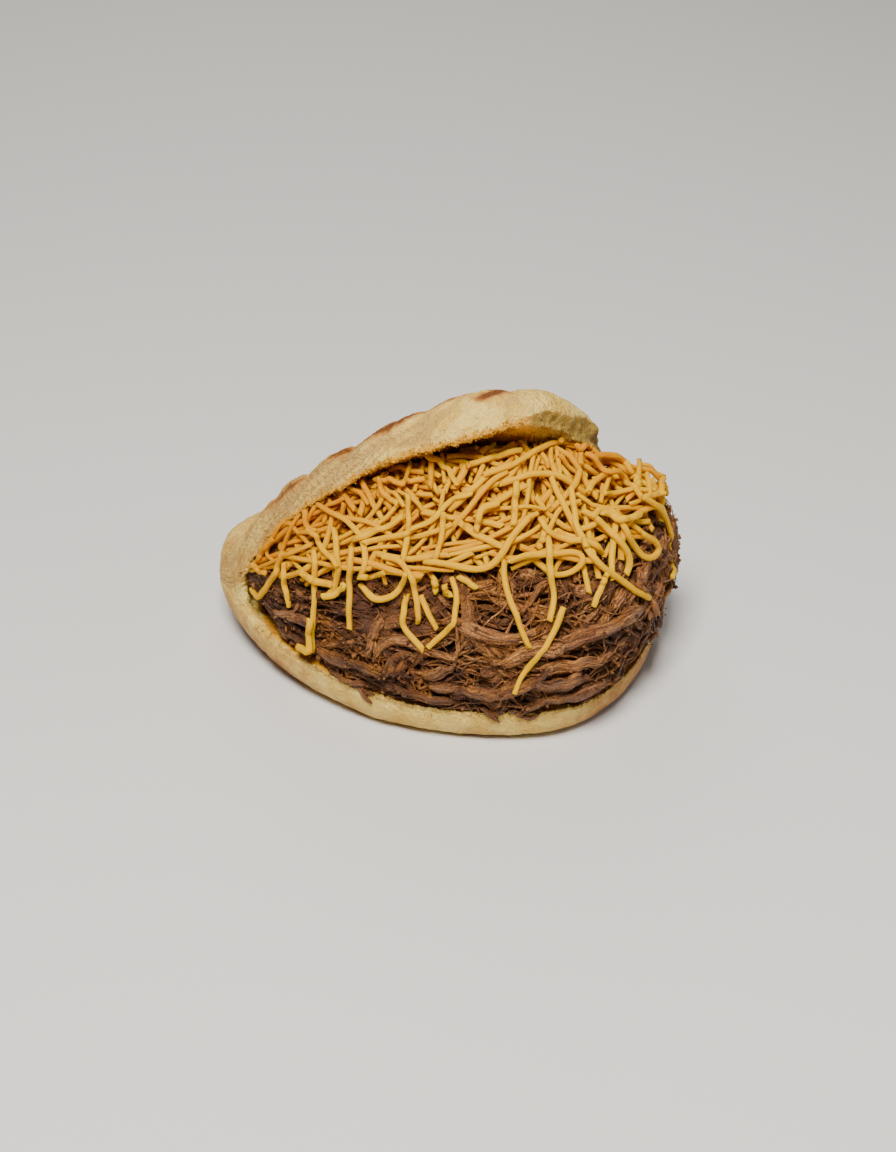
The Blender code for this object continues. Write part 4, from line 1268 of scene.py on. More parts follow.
def dress(shading, **results):
    """Joins finished values to the shader's sockets: Base_Color, Normal and Roughness."""
    shader = shading.tree.nodes["Principled BSDF"]
    for name, value in results.items():
        shading.fill(shader.inputs[name.replace("_", " ")], value)


# ================================ Materials ================================

def bread_material(looks):
    """Pale corn crust with toasted patches, crumb where it is cut, and orange oil on the cut edge.
    Painted shade darkens the creases, the torn corner's crumb, the lid's underside and the base's rim.
    """
    material, s = new_material("corn_bread", 0.62, 0.35, 0.10, (0.005, 0.003, 0.0012))
    place = s.place()
    crust = s.group("mottle", place, looks.crust_colour, looks.crust_second, 150.0, 1300.0, 0.75)[0]
    crumb = s.group("mottle", place, looks.crumb_colour, looks.crumb_second, 420.0, 1500.0, 0.8)[0]
    blur = s.noise(place, 420.0, 5.0, 0.65) - 0.5
    bare = s.ramp(s.stored("cut") + blur * 1.2, 0.40, 0.62)
    # painted shade on the crumb of the torn corner and the lid's right underside
    crumb = s.mix(s.stored("shaded") * 0.95, crumb, looks.crumb_shade)
    # painted shade at the bottom of the crust's creases
    crust = s.mix(s.stored("crease") * 0.80, crust, looks.crease_shade)
    colour = s.mix(bare, crust, crumb)
    # the toast value carries painted shade on the base's rim as well as toast
    browned = s.stored("toast") + blur * 0.9
    colour = s.mix(s.ramp(browned, 0.10, 0.80), colour, looks.toast_light)
    colour = s.mix(s.ramp(browned, 0.62, 1.15), colour, looks.toast_dark)
    soaked = s.stored("oil") + blur * 0.5
    colour = s.mix(s.ramp(soaked, 0.15, 0.60) * bare, colour, looks.oil_colour)
    # painted shade under the lid, mixed with the deepest oil soak
    colour = s.mix(s.ramp(soaked, 0.62, 1.0) * bare, colour, looks.oil_soak_and_shade)
    for scale, patch, strength in SPECKS:
        away = s.node("ShaderNodeTexVoronoi", "Distance", {"Vector": place, "Scale": scale})
        chosen = s.ramp(s.noise(place, patch, 1.0), 0.56, 0.64)
        colour = s.mix(s.ramp(away, 0.14, 0.06) * chosen * strength, colour, looks.toast_light)
    normal, height = s.group("grain", place, 620.0, 1900.0, 0.0016)
    dress(s, Base_Color=colour, Normal=normal, Roughness=height * 0.25 + 0.42)
    return material


def beef_material(name, looks, dark_share):
    """Moist pulled beef: brown fibres along each strand, darker in the grooves as painted shade.
    Pale fibres on the ridges are partly a painted highlight.
    """
    material, s = new_material(name, 0.42, 0.42, 0.05, (0.0015, 0.0007, 0.0003))
    place, tone = s.place(), s.stored("tone")
    fibre = s.noise(s.stretched(0.07), 2300.0, 4.0, 0.6)
    grains = s.noise(place, 1500.0, 3.0, 0.6)
    colour = s.group("mottle", place, looks.beef_colour, looks.beef_second, 150.0, 900.0, 0.65)[0]
    # the tone paints shade low on the heap, deep in it and at the left end, and light at the right; it also
    # varies at random
    colour = s.mix(s.ramp(tone, 0.0, 1.0) * 0.92, looks.beef_dark, colour)
    colour = s.mix(s.ramp(s.noise(place, 110.0, 2.0), 0.50, 0.68) * 0.55, colour, looks.beef_oil)
    # painted shade in the grooves of the fibres and the hollows of the grains
    colour = s.mix(s.ramp(fibre, 0.53, 0.40) * dark_share, colour, looks.beef_dark)
    colour = s.mix(s.ramp(grains, 0.50, 0.40) * 0.38, colour, looks.beef_dark)
    # pale, dry fibres on the ridges where the tone is high, partly a painted highlight
    pale = s.ramp(fibre, 0.54, 0.68) * s.ramp(tone, 0.1, 1.0) * s.ramp(grains, 0.40, 0.58)
    colour = s.mix(pale * 0.70, colour, looks.beef_pale_highlight)
    height = fibre + grains + s.noise(s.stretched(0.22), 900.0) * 0.8
    wet = s.ramp(s.noise(place, 260.0, 2.0), 0.35, 0.70)
    dress(s, Base_Color=colour, Normal=s.bump(height, 0.0010), Roughness=wet * 0.28 + 0.30)
    return material


def beef_core_material(looks):
    """The moist inside of the heap that shows between strands, painted dark as the shade in the gaps."""
    material, s = new_material("beef_inside", 0.5, 0.35)
    place = s.place()
    # painted shade: the core is coloured dark where it shows between strands
    dress(s, Base_Color=s.group("mottle", place, looks.beef_dark, looks.beef_gap_shade, 300.0, 1200.0, 0.9)[0],
          Normal=s.group("grain", place, 700.0, 1900.0, 0.0008)[0])
    return material


def cheese_material(name, looks, shade_share):
    """Grated cheese: satin yellow-orange with light passing through, drier and paler in patches,
    with painted shade where the tone is low and over the given share.
    """
    material, s = new_material(name, 0.5, 0.05, 0.35, (0.0030, 0.0013, 0.0001))
    straight = s.stretched(0.10)
    # a low tone paints shade deep in the heap and near the lid's edge; it also varies at random
    colour = s.mix(s.stored("tone"), looks.cheese_shade, looks.cheese_colour)
    dry = s.ramp(s.noise(straight, 700.0, 4.0, 0.6), 0.56, 0.78)
    colour = s.mix(dry * 0.25, colour, looks.cheese_pale)
    # painted shade over the given share
    colour = s.mix(shade_share, colour, looks.cheese_shade)
    normal = s.group("grain", straight, 1500.0, 3400.0, 0.00040)[0]
    wet = s.noise(s.place(), 500.0, 2.0)
    dress(s, Base_Color=colour, Normal=normal, Roughness=wet * 0.25 + 0.36)
    return material


# ================================ What a user may change ================================

def colour(name, description, default):
    """A colour setting."""
    return FloatVectorProperty(name=name, description=description, default=default, subtype="COLOR",
                               size=3, min=0.0, max=1.0)


def distance(name, description, default):
    """A length setting."""
    return FloatProperty(name=name, description=description, default=default, unit="LENGTH", min=0.0)


def power(name, description, default):
    """A light's power setting."""
    return FloatProperty(name=name, description=description, default=default, unit="POWER", min=0.0)


def number(name, description, default):
    """A setting for how many are made or tried."""
    return IntProperty(name=name, description=description, default=default, min=0)


class BreadLooks(bpy.types.PropertyGroup):
    """Sizes and colours of the bread."""
    crust_colour: colour("Crust", "Pale crust", (0.90, 0.65, 0.175))
    crust_second: colour("Crust blotches", "Where the crust is yellower", (0.72, 0.44, 0.070))
    crumb_colour: colour("Crumb", "Inside of the bread", (0.80, 0.53, 0.115))
    crumb_second: colour("Crumb hollows", "Hollows of the crumb", (0.56, 0.33, 0.065))
    # painted shade on the crumb of the torn corner
    crumb_shade: colour("Olive crumb", "Crumb of the torn corner", (0.36, 0.220, 0.034))
    # painted shade at the bottom of the crust's creases
    crease_shade: colour("Creases", "Bottom of the crust's creases", (0.48, 0.28, 0.085))
    toast_light: colour("Light toast", "Lightly browned crust", (0.50, 0.215, 0.038))
    toast_dark: colour("Dark toast", "Darkest browned crust", (0.17, 0.048, 0.004))
    oil_colour: colour("Oil", "Crumb soaked with orange oil", (0.74, 0.34, 0.010))
    # soaked crumb inside the lid, darkened with painted shade
    oil_soak_and_shade: colour("Deep oil", "Inside of the lid, soaked through", (0.34, 0.095, 0.006))
    crust_relief: distance("Crust relief", "Depth of the crust's fine unevenness", 0.15 * MM)
    crumb_relief: distance("Crumb relief", "Depth of the crumb's roughness", 0.55 * MM)
    crumbs: number("Crumbs", "Crumbs on the torn edges", 1700)


class BeefLooks(bpy.types.PropertyGroup):
    """Sizes and colours of the pulled beef."""
    beef_colour: colour("Beef", "Cooked meat", (0.53, 0.225, 0.062))
    beef_second: colour("Beef blotches", "Redder meat", (0.39, 0.130, 0.030))
    beef_oil: colour("Oily beef", "Meat soaked with orange juices", (0.50, 0.185, 0.022))
    # pale fibres, partly a painted highlight on the ridges
    beef_pale_highlight: colour("Pale fibres", "Dry, pale fibres", (0.84, 0.46, 0.165))
    beef_dark: colour("Dark beef", "Crisp or shaded meat", (0.080, 0.024, 0.007))
    # painted shade in the gaps between strands
    beef_gap_shade: colour("Deep beef", "Gaps between strands", (0.028, 0.008, 0.002))
    bundles: number("Bundles", "Thick strands tried", 880)
    threads: number("Threads", "Thinner strands tried", 520)
    fibres: number("Fibres", "Fine loose fibres tried", 650)
    bits: number("Bits", "Crumbly bits tried", 2200)
    core_depth: distance("Core depth", "How far the core lies below the heap's outline", 6.5 * MM)


class CheeseLooks(bpy.types.PropertyGroup):
    """Sizes and colours of the grated cheese."""
    cheese_colour: colour("Cheese", "Fresh shreds", (0.81, 0.425, 0.0002))
    cheese_pale: colour("Dry cheese", "Drier, paler patches", (0.84, 0.460, 0.0010))
    # the shade colour: painted shade deep in the heap, near the lid's edge and on the core; also the low end
    # of the random tone
    cheese_shade: colour("Deep cheese", "Softened, oily cheese", (0.60, 0.210, 0.0002))
    shreds: number("Shreds", "Loose shreds tried", 5200)
    width: distance("Width", "Width of a shred", 1.62 * MM)
    core_depth: distance("Core depth", "How far the core lies below the heap's outline", 4.6 * MM)


class StageLooks(bpy.types.PropertyGroup):
    """Floor and light."""
    floor_colour: colour("Floor", "Plain pale floor", (0.68, 0.67, 0.65))
    key_power: power("Key light", "Power of the main light", 16.0)
    fill_power: power("Fill light", "Power of the side light", 1.1)
    back_power: power("Back light", "Power of the light behind", 2.2)
    sky: FloatProperty(name="Surroundings", description="Strength of the even light all round", default=0.11)


class ArepaLooks(bpy.types.PropertyGroup):
    """Everything that can be changed."""
    bread: PointerProperty(type=BreadLooks)
    beef: PointerProperty(type=BeefLooks)
    cheese: PointerProperty(type=CheeseLooks)
    stage: PointerProperty(type=StageLooks)


HEAPS = {}  # the bread's surface and the heap as each operator left them, for the next one


# ================================ Pieces ================================

def finish(obj, material, replaces=None):
    """Gives a piece its material and its place on the part."""
    obj.data.materials.append(material)
    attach(obj, "root")
    if replaces:
        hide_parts(replaces)


class AREPA_OT_bread(bpy.types.Operator):
    """Builds the split bread"""
    bl_idname = "arepa.bread"
    bl_label = "Bread"

    def execute(self, context):
        looks = context.scene.arepa_looks.bread
        rings, flat, kind = bread_rings()
        relief, crease = bread_relief(rings, flat, kind, looks.crust_relief, looks.crumb_relief)
        shaped = rings + grid_normals(rings) * relief[..., None]
        low, high = np.array(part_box("arepa_bread"))
        shaped = np.clip(shaped, low, high)
        flat_base = np.abs(rings[..., 2]) < 0.05 * MM
        shaped[..., 2] = np.where(flat_base, np.maximum(shaped[..., 2], 0.0), shaped[..., 2])
        bread = loft("bread", shaped)
        share = np.clip(flat[..., 2] / UPPER_THICK, 0.0, 1.0)
        x = flat[..., 0]
        upper, inner = kind["upper"], kind["cut"]
        on_wall = upper * (kind["wall"] > 0.0) * (1.0 - inner)
        from_edge, from_front = flat[..., 1] - kind["lid_front"], flat[..., 1] - kind["front"]
        right = smooth((x - 6.0 * MM) / (14.0 * MM))
        # oil grows from the cut edge into the lid's underside; its deepest values also paint shade under the
        # lid
        oil = upper * (0.55 + 0.45 * np.clip(from_edge / (5.0 * MM), 0.0, 1.0) * inner) * (1.0 - 0.75 * right)
        meat_side = (1.0 - upper) * inner * smooth((from_front - 0.5 * MM) / (3.0 * MM))
        low_edge = bell(from_front / (2.2 * MM)) * bell(flat[..., 2] / (1.5 * MM))
        cut = np.clip(inner + on_wall * (0.5 + (tear_line(x) - share) / 0.16), 0.0, 1.0)
        cut = np.clip(cut + 0.9 * (1.0 - upper) * low_edge, 0.0, 1.0)
        cut = cut * (1.0 - smooth((SOFT_START - 6.0 * MM - x) / (4.0 * MM)))
        cut = cut * (1.0 - smooth((x - 45.0 * MM) / (9.0 * MM)))
        at_edge = 1.0 - smooth((from_edge - 9.0 * MM) / (10.0 * MM))
        stored = dict(toast=toast_and_shade(flat, kind), oil=np.clip(oil + 0.75 * meat_side, 0.0, 1.0), cut=cut,
                      crease=crease, shaded=right * upper * cut * at_edge)
        for name, values in stored.items():
            give(bread, name, values.ravel())
        merge_tips(bread)
        material = bread_material(looks)
        finish(bread, material, "arepa_bread")
        finish(self.crumbs(shaped, looks.crumbs), material)
        HEAPS["bread"] = grid_tree(shaped)
        return {"FINISHED"}

    def crumbs(self, shaped, count):
        """Crumbs held on the torn edges: on the lid's from end to end, and fewer on the base's."""
        rng = np.random.default_rng(CRUMB_SEED)
        outline = FRONT_RIM_ROWS + FLAT_ROWS + BACK_RIM_ROWS
        on_lid = rng.random(count) < 0.64
        column = np.where(on_lid, 2 * outline + rng.integers(-5, 3, count), rng.integers(-4, 4, count))
        along = rng.uniform(-0.94, np.where(on_lid, 0.20, 0.90), count) * HALF_LENGTH
        station = np.arccos(-along / HALF_LENGTH) / np.pi * (STATIONS - 1)
        places = shaped[np.rint(station).astype(int), column % shaped.shape[1]]
        size = (0.12 + rng.exponential(0.09, count).clip(0.0, 0.33)) * MM
        obj = lumps(rng, "bread_crumbs", places + rng.normal(0.0, 0.20 * MM, (count, 3)), size, 0.0 * size)
        points = len(obj.data.vertices)
        give(obj, "cut", np.ones(points))
        give(obj, "oil", np.repeat(np.where(on_lid, rng.uniform(0.35, 0.75, count), 0.15), points // count))
        return obj


def ball_tree(size, grow):
    """A search tree over a filling's core."""
    return grid_tree(ball_rings(size, grow))


def core(name, size, depth, relief):
    """A filling's core below its outline, uneven by `relief` all over. Each point moves along its normal.

    Behind the axis it is drawn in towards the axis at the right end, where the pocket stands open.
    """
    rings = ball_rings(size, -depth)
    tuck = 1.0 - BACK_TUCK * smooth((rings[..., 0] - TUCK_START) / TUCK_RUN)
    behind = np.maximum(rings[..., 1] - AXIS_Y, 0.0)
    rings[..., 1] -= behind * (1.0 - tuck)
    share = np.linspace(0.0, 1.0, BALL_STATIONS)
    full = smooth(share * 12.0) * smooth((1.0 - share) * 12.0)
    bump = relief * rough(rings, 4.0 * MM, 51) * full[:, None]
    shaped = rings + grid_normals(rings) * bump[..., None]
    obj = loft(name, shaped)
    merge_tips(obj)
    return obj, shaped


def low_shade(angle):
    """Falls below 1 for strands that lie low on the heap: painted shade there."""
    return 1.0 - LOW_SHADE * smooth((LOW_START - angle) / LOW_RUN)


class AREPA_OT_beef(bpy.types.Operator):
    """Heaps the pulled beef: thick strands in bundles, then thin fibres and short bits"""
    bl_idname = "arepa.beef"
    bl_label = "Pulled beef"

    def execute(self, context):
        if "bread" not in HEAPS:
            raise RuntimeError("the bread is built first")
        looks = context.scene.arepa_looks.beef
        rng = np.random.default_rng(BEEF_SEED)
        inside, shaped = core("beef_core", BEEF_BALL, looks.core_depth, BEEF_RELIEF)
        finish(inside, beef_core_material(looks), "shredded_beef")

        heap = Heap()
        heap.roof = np.minimum(heap.cast(HEAPS["bread"], inward=False), FAR)
        heap.top = np.minimum(heap.cast(grid_tree(shaped), inward=True), heap.roof - UNDER_LID)
        outline = heap.cast(ball_tree(BEEF_BALL, 0.0), inward=True)
        cheese = heap.cast(ball_tree(CHEESE_BALL, -UNDER_CHEESE), inward=True)
        cap = np.where(outline > 0.0, outline + OVER_OUTLINE, 0.0)
        hidden = cheese > cap - HIDDEN_UNDER

        laid = dict(bundles=Laid(16), threads=Laid(12), fibres=Laid(8))
        for kind, over, lengths, widths, stray, part in MEAT_LAYERS:
            self.scatter(rng, heap, laid[kind], cap + over * MM, hidden, getattr(looks, kind),
                         lengths, widths, stray, part)
        for half_width, *bends in BEEF_PIXELS:
            place, angle = seen_on_heap(heap, bends, 40)
            kind = "bundles" if half_width > THREAD_PIXELS else "threads"
            tone = rng.uniform(0.6, 1.0) * low_shade(angle.mean())
            lay(heap, laid[kind], evened(place, 12), evened(angle, 12),
                SEEN_WIDTH * half_width * PIXEL_AT_HEAP, tone, cap + SEEN_BEEF_OVER, sink=0.5, passes=10,
                least=8, room=-0.6 * MM)
        over, *loose_sizes = LOOSE_FIBRES
        self.scatter(rng, heap, laid["fibres"], cap + over * MM, hidden, looks.fibres, *loose_sizes)
        self.scraps(rng, laid["threads"])
        strands = laid["bundles"].arrays(heap)
        finish(self.bundle_mesh(rng, "beef_strands", strands), beef_material("pulled_beef", looks, 0.85))
        loose = beef_material("beef_fibre", looks, 0.5)
        for name, thin, sides, uneven in (("beef_frays", self.frays(rng, heap, strands), 4, 0.25),
                                          ("beef_threads", laid["threads"].arrays(heap), 5, 0.30),
                                          ("beef_fibres", laid["fibres"].arrays(heap), 4, 0.15)):
            finish(self.strand_mesh(rng, name, thin, rounded(sides, 2.0), uneven), loose)
        finish(self.bits(rng, heap, cap, hidden, looks.bits), loose)
        HEAPS["heap"], HEAPS["beef_cap"] = heap, cap
        return {"FINISHED"}

    def scatter(self, rng, heap, laid, cap, hidden, count, length, radius, stray, part=None):
        """Lays strands over the part of the heap that shows: locks of them share a direction.

        length and radius are the least and the most, in millimetres. At the left end the meat is
        pulled shorter and finer. part limits the strands to one part of the heap.
        """
        place, angle = strewn(rng, count, *BEEF_SPAN)
        if part:
            place, angle = rng.uniform(*part[0], count), rng.uniform(*part[1], count)
        lock = noise(np.stack([place / (15 * MM), angle / 0.38, 0.0 * place], axis=-1), 1.0, 17)
        heading = 0.95 * lock + rng.normal(0.0, stray, count) + np.pi * rng.integers(0, 2, count)
        fine = 1.0 - FINE_AT_LEFT * smooth((-22.0 * MM - place) / (16.0 * MM))
        lengths = rng.uniform(*length, count) * MM * fine
        curl = rng.normal(0.0, BEEF_CURL, count)
        places, angles = walk(rng, place, angle, heading, lengths, curl, wobble=0.030, steps=40)
        radii = rng.uniform(0.0, 1.0, count) ** 1.5 * (radius[1] - radius[0]) + radius[0]
        shown = ~heap.read(hidden, place, angle)
        low, left = low_shade(angle), smooth((15.0 * MM - place) / (50.0 * MM))
        for n in np.nonzero(shown)[0]:
            # the tone is raised at the right as painted light and lowered at the left end as painted shade,
            # besides its random differences
            tone = rng.uniform(0.1, 1.0) * (1.40 - 0.95 * left[n]) * low[n]
            lay(heap, laid, places[n], angles[n], radii[n] * MM * 0.8 * fine[n], min(tone, 1.0), cap,
                sink=0.45, passes=16, least=12, room=0.1 * MM)

    def bundle_mesh(self, rng, name, laid):
        """Thick strands: a flattened section with long grooves, uneven along its length.

        The grooves come from noise read round the section and slowly along it. Each strand
        tapers to a ragged tip at both ends.
        """
        centres, outward, radius, tone = laid
        count, rings, _ = centres.shape
        profile = rounded(12, 2.0)
        share = np.abs(np.linspace(-1.0, 1.0, rings))[None]
        size = radius[:, None] / 0.8 * (1.0 - 0.55 * share ** 5) * (1.0 + 0.16 * noise(centres, 8 * MM, 71))
        straight = straightened(centres, size, profile, rng.uniform(0.0, 1.0, count))
        round_it = np.broadcast_to(profile[None, None] * 1.9, (*straight.shape[:3], 2))
        grooves = np.concatenate([round_it, straight[..., 2:] / (7.0 * MM)], axis=-1)
        relief = 0.42 * noise(grooves, 1.0, 72) + 0.30 * noise(grooves * [2.1, 2.1, 1.3], 1.0, 73)
        relief = 1.0 + relief * (1.0 + 0.8 * share[..., None] ** 4)
        twist = turning(rng, count, rings, (-0.5, 0.5), 0.8)
        points = sections(centres, outward, size * 1.25, size * 0.78, twist, profile, relief)
        return tubes(name, points, straight, tone)

    def frays(self, rng, heap, laid):
        """Threads that run over each thick strand and leave it at its ends, close to the heap."""
        centres, outward, radius, tone = laid
        count, rings, _ = centres.shape
        share = np.linspace(-1.0, 1.0, rings)[None]
        tangent, side, up = line_frame(centres, outward)
        lines = []
        for _ in range(FRAYS):
            around = rng.uniform(0.1, 3.0, (count, 1)) + rng.uniform(-0.7, 0.7, (count, 1)) * share
            out = radius[:, None] * (1.10 + rng.uniform(-0.5, 0.6, (count, 1)) * np.abs(share) ** 5)
            line = centres + (side * (np.cos(around) * 1.3 * out)[..., None]
                              + up * (np.sin(around) * 0.8 * out)[..., None])
            line = line + tangent * (share ** 7 * rng.uniform(0.0, 2.5, (count, 1)) * MM)[..., None]
            place, angle, height = to_heap(line)
            excess = np.maximum(height - heap.read(heap.top, place, angle) - 0.3 * MM, 0.0)
            line = line - outward * excess[..., None]
            radii = rng.uniform(0.16, 0.34, count) * MM
            lines.append((line, outward, radii, tone * rng.uniform(0.6, 1.3, (count, 1))))
        return [np.concatenate(values) for values in zip(*lines)]

    def scraps(self, rng, threads):
        """Shreds of crisp meat that fell on the base's rim, where the photograph shows them."""
        for half_width, *bends in RIM_SCRAPS:
            points, normals = seen_on_bread(HEAPS["bread"], bends, 24)
            radius = half_width * PIXEL_AT_HEAP
            wave = 0.25 * radius * np.sin(np.linspace(0.0, 9.0, len(points)))[:, None]
            threads.keep(points + normals * (0.5 * radius + wave), normals, radius, rng.uniform(0.3, 0.6))

    def strand_mesh(self, rng, name, strands, profile, uneven):
        """Thin strands of slightly flattened, uneven section that taper to both ends."""
        centres, outward, radius, tone = strands
        count, rings, _ = centres.shape
        share = np.abs(np.linspace(-1.0, 1.0, rings))[None]
        size = radius[:, None] / 0.8 * (1.0 - 0.7 * share ** 3)
        size = size * (1.0 + uneven * noise(centres, 2.5 * MM, 75))
        twist = turning(rng, count, rings, (0.0, np.pi), 1.5)
        points = sections(centres, outward, size * 1.15, size * 0.8, twist, profile)
        return tubes(name, points, straightened(centres, size, profile, rng.uniform(0.0, 1.0, count)), tone)

    def bits(self, rng, heap, cap, hidden, count):
        """Crumbly bits of meat, most of them at the left end."""
        left = rng.random(count) < BITS_AT_LEFT
        start, middle, end = BIT_PLACES
        place = np.where(left, rng.uniform(start, middle, count), rng.uniform(middle, end, count))
        angle = rng.uniform(-0.55, 1.0, count)
        height = heap.read(heap.top, place, angle)
        size = rng.uniform(0.25, 1.0, count) ** 1.6 * np.where(left, LEFT_BIT, RIGHT_BIT)
        good = ~heap.read(hidden, place, angle) & (heap.read(cap, place, angle) > 0.0)
        good &= height + size < heap.read(heap.roof, place, angle)
        place, angle, height, size = place[good], angle[good], height[good], size[good]
        centres = axis_start(place) + axis_direction(place, angle) * (height + 0.15 * size)[:, None]
        return lumps(rng, "beef_bits", centres, size, rng.uniform(0.0, 0.9, len(size)), 0.45)


class AREPA_OT_cheese(bpy.types.Operator):
    """Heaps the grated cheese over the beef"""
    bl_idname = "arepa.cheese"
    bl_label = "Grated cheese"

    def execute(self, context):
        if "heap" not in HEAPS:
            raise RuntimeError("the beef is heaped first")
        looks = context.scene.arepa_looks.cheese
        rng = np.random.default_rng(CHEESE_SEED)
        heap = HEAPS["heap"]
        inside, shaped = core("cheese_core", CHEESE_BALL, looks.core_depth, CHEESE_RELIEF)
        give(inside, "straight", np.array([v.co[:] for v in inside.data.vertices]))
        # the core gets tone 0 and a large shade share: painted shade where it shows between shreds
        give(inside, "tone", np.zeros(len(inside.data.vertices)))
        finish(inside, cheese_material("cheese_inside", looks, 0.6), "shredded_cheese")

        outline = heap.cast(ball_tree(CHEESE_BALL, 0.0), inward=True)
        bare = heap.cast(grid_tree(shaped), inward=True)
        heap.top = np.maximum(heap.top, np.minimum(bare, heap.roof - UNDER_LID))
        column, line = to_pixels(heap.surface())
        border = np.interp(column, *np.transpose(CHEESE_BORDER))
        covers = (line < border) & (heap.angles > 0.30)
        cap = np.maximum(outline, HEAPS["beef_cap"] + OVER_MEAT)
        laid, curls = Laid(14), Laid(28)
        for share, over, lengths, rise, part in CHEESE_LAYERS:
            self.scatter(rng, heap, laid, covers, cap + over * MM, looks.width, int(looks.shreds * share),
                         lengths, rise * MM, part)
        for bends in CHEESE_PIXELS:
            place, angle = seen_on_heap(heap, bends, 48)
            radius = 0.5 * looks.width * rng.uniform(0.92, 1.10)
            lay(heap, curls, evened(place, 24), evened(angle, 24), radius, rng.uniform(0.8, 1.0),
                cap + SEEN_CHEESE_OVER, sink=0.55, passes=34, least=6, room=-1.2 * MM)
        material = cheese_material("grated_cheese", looks, 0.0)
        for name, shreds in (("cheese_shreds", laid), ("cheese_curls", curls)):
            finish(self.shred_mesh(rng, name, heap, shreds), material)
        return {"FINISHED"}

    def scatter(self, rng, heap, laid, covers, cap, width, count, lengths, rise, part):
        """Lays shreds every way over the cheese; most of each one lies on the cheese's own ground.

        lengths are the least, the usual and the most, in millimetres. One end of each may stand up,
        by at most `rise`. part limits the shreds to one part of the heap.
        """
        place, angle = strewn(rng, count, *CHEESE_SPAN)
        heading = rng.uniform(0.0, 2 * np.pi, count)
        if part:
            place, angle = rng.uniform(*part[0], count), rng.uniform(*part[1], count)
            heading = rng.normal(0.5 * np.pi, 0.9, count)
        length = rng.triangular(*lengths, count) * MM
        curl = rng.normal(0.0, CHEESE_CURL, count)
        places, angles = walk(rng, place, angle, heading, length, curl, wobble=0.014, steps=44)
        lifted = rise * rng.uniform(0.0, 1.0, count) ** 3
        for n in np.nonzero(heap.read(covers, places, angles).mean(axis=1) > ON_CHEESE)[0]:
            radius = 0.5 * width * (0.62 + 0.43 * rng.random() ** 0.7)
            lay(heap, laid, places[n], angles[n], radius, rng.uniform(0.45, 1.0), cap, sink=0.45, passes=40,
                least=20, room=0.1 * MM, rise=lifted[n])

    def shred_mesh(self, rng, name, heap, laid):
        """Shreds: a square section with soft corners, slightly twisted, cut off bluntly at a slant.

        The second ring and the last but one lie close to the ends, which keeps them blunt. The tone
        falls close to the lid's edge, as painted shade under the lid.
        """
        centres, outward, radius, tone = laid.arrays(heap)
        count, rings, _ = centres.shape
        centres[:, [1, -2]] = 0.12 * centres[:, [1, -2]] + 0.88 * centres[:, [0, -1]]
        profile = rounded(8, 5.0)
        twist = turning(rng, count, rings, (-0.7, 0.7), 0.9)
        share = np.linspace(-1.0, 1.0, rings)[None]
        ends = 1.0 - rng.uniform(0.0, 0.20, (count, 1)) * np.abs(share) ** 4
        sizes = radius[:, None] * ends * (1.0 + 0.12 * noise(centres, 5 * MM, 81))
        tall = sizes * rng.uniform(0.74, 1.0, (count, 1))
        points = sections(centres, outward, 0.96 * sizes, tall, twist, profile)
        slant = rng.uniform(-0.8, 0.8, (count, 1, 1, 1)) * radius[:, None, None, None]
        slant = slant * profile[None, None, :, :1] * (np.abs(share) ** 12)[..., None, None]
        points = points + unit(np.gradient(centres, axis=1))[:, :, None, :] * slant
        x = np.linspace(*LID_EDGE_SPAN, 60)
        y, z = fold_lid(x, lid_edge(x), -lip_drop(x, 0.0 * x))
        edge = np.stack([x, y, z + lift(x)], axis=-1)
        away = np.linalg.norm(centres[:, :, None, :] - edge, axis=-1).min(axis=-1)
        # painted shade on the shreds near the lid's edge
        tone = tone * (0.15 + 0.85 * smooth((away - LID_SHADE_NEAR) / LID_SHADE_RUN))
        straight = straightened(centres, sizes, profile, rng.uniform(0.0, 1.0, count))
        return tubes(name, points, straight, tone)


def stand(name, data, place, target):
    """Puts a light or a camera at its place, turned to a target."""
    holder = bpy.data.objects.new(name, data)
    holder.location = place
    holder.rotation_euler = (Vector(target) - Vector(place)).to_track_quat("-Z", "Y").to_euler()
    bpy.context.scene.collection.objects.link(holder)
    return holder


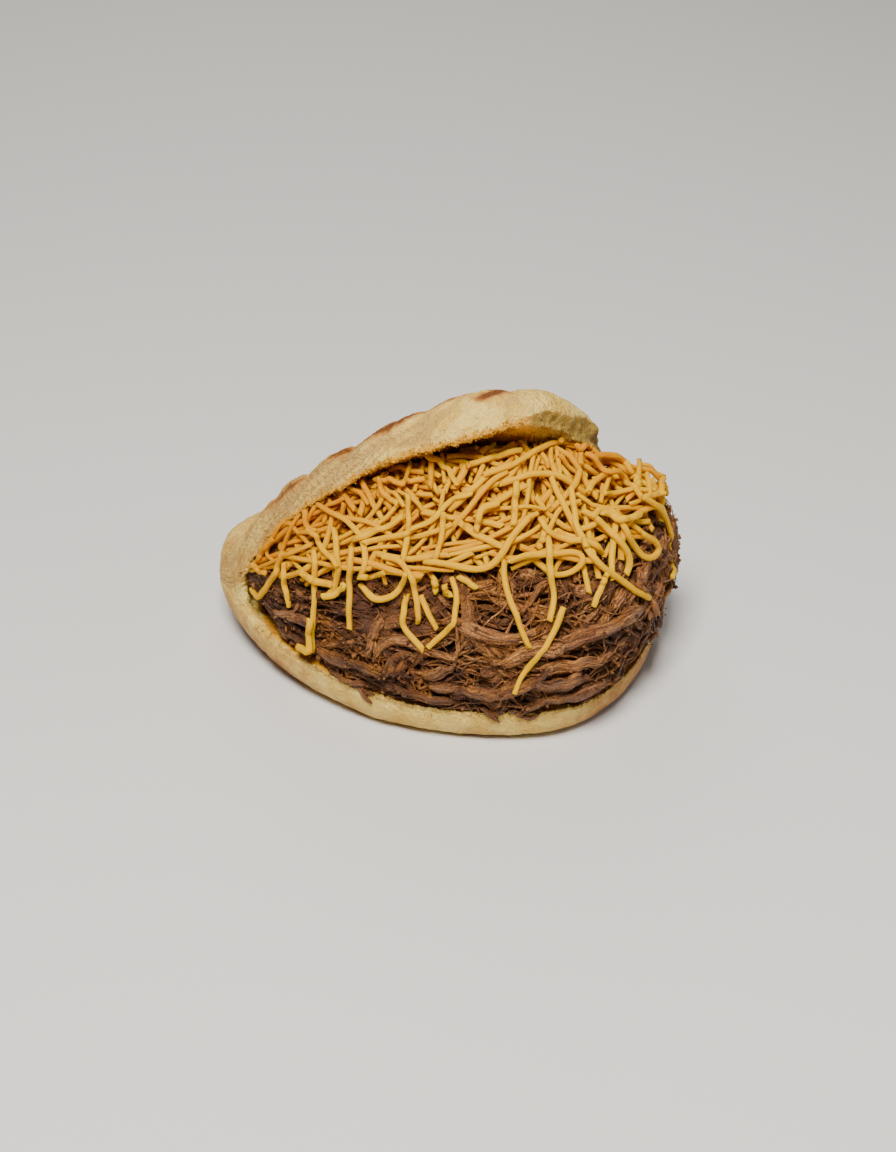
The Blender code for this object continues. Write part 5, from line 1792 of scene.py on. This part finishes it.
class AREPA_OT_stage(bpy.types.Operator):
    """Sets the pale floor, the soft studio light and the camera at the photograph's angle"""
    bl_idname = "arepa.stage"
    bl_label = "Floor, light and camera"

    def execute(self, context):
        looks = context.scene.arepa_looks.stage
        self.floor(looks)
        for name, place, size, tint in LIGHTS:
            self.area(f"{name}_light", place, size, getattr(looks, f"{name}_power"), tint)
        world = bpy.data.worlds.new("studio")
        world.use_nodes = True
        background = world.node_tree.nodes["Background"]
        background.inputs["Color"].default_value = (*SKY_TINT, 1.0)
        background.inputs["Strength"].default_value = looks.sky
        context.scene.world = world
        self.camera(context)
        return {"FINISHED"}

    def floor(self, looks):
        """A large flat square just under the bread."""
        corners = np.array([(-1.0, -1.0, 0.0), (1.0, -1.0, 0.0), (1.0, 1.0, 0.0), (-1.0, 1.0, 0.0)])
        floor = new_object("floor", FLOOR_REACH * corners, [(0, 1, 2, 3)])
        material, shading = new_material("pale_floor", 0.7, 0.2)
        dress(shading, Base_Color=looks.floor_colour)
        floor.data.materials.append(material)

    def area(self, name, place, size, watts, tint):
        """A square light facing the food."""
        light = bpy.data.lights.new(name, "AREA")
        light.size, light.energy, light.color = size, watts, tint
        stand(name, light, place, FOOD_MIDDLE)

    def camera(self, context):
        """The photograph's view: its focal length in pixels gives the lens on a 36 mm long side."""
        data = bpy.data.cameras.new("camera")
        data.sensor_width = FILM_WIDTH
        data.lens = FILM_WIDTH * CAMERA_FOCAL / max(PHOTO_SIZE)
        data.clip_start = 0.01
        context.scene.camera = stand("camera", data, CAMERA_PLACE, CAMERA_TARGET)


class AREPA_PT_panel(bpy.types.Panel):
    """Lists the pieces and their settings"""
    bl_label = "Stuffed arepa"
    bl_idname = "AREPA_PT_panel"
    bl_space_type = "VIEW_3D"
    bl_region_type = "UI"
    bl_category = "Arepa"

    def draw(self, context):
        looks = context.scene.arepa_looks
        for operator, settings in (("arepa.bread", looks.bread), ("arepa.beef", looks.beef),
                                   ("arepa.cheese", looks.cheese), ("arepa.stage", looks.stage)):
            box = self.layout.box()
            box.operator(operator)
            for name in settings.__annotations__:
                box.prop(settings, name)


CLASSES = (BreadLooks, BeefLooks, CheeseLooks, StageLooks, ArepaLooks, AREPA_OT_bread, AREPA_OT_beef,
           AREPA_OT_cheese, AREPA_OT_stage, AREPA_PT_panel)


def register():
    """Adds the classes and the scene's settings."""
    for cls in CLASSES:
        bpy.utils.register_class(cls)
    bpy.types.Scene.arepa_looks = PointerProperty(type=ArepaLooks)


def unregister():
    """Takes them away again."""
    del bpy.types.Scene.arepa_looks
    for cls in reversed(CLASSES):
        bpy.utils.unregister_class(cls)


def main():
    """Builds the whole scene."""
    register()
    bpy.ops.arepa.stage()
    bpy.ops.arepa.bread()
    bpy.ops.arepa.beef()
    bpy.ops.arepa.cheese()


if __name__ == "__main__":
    main()
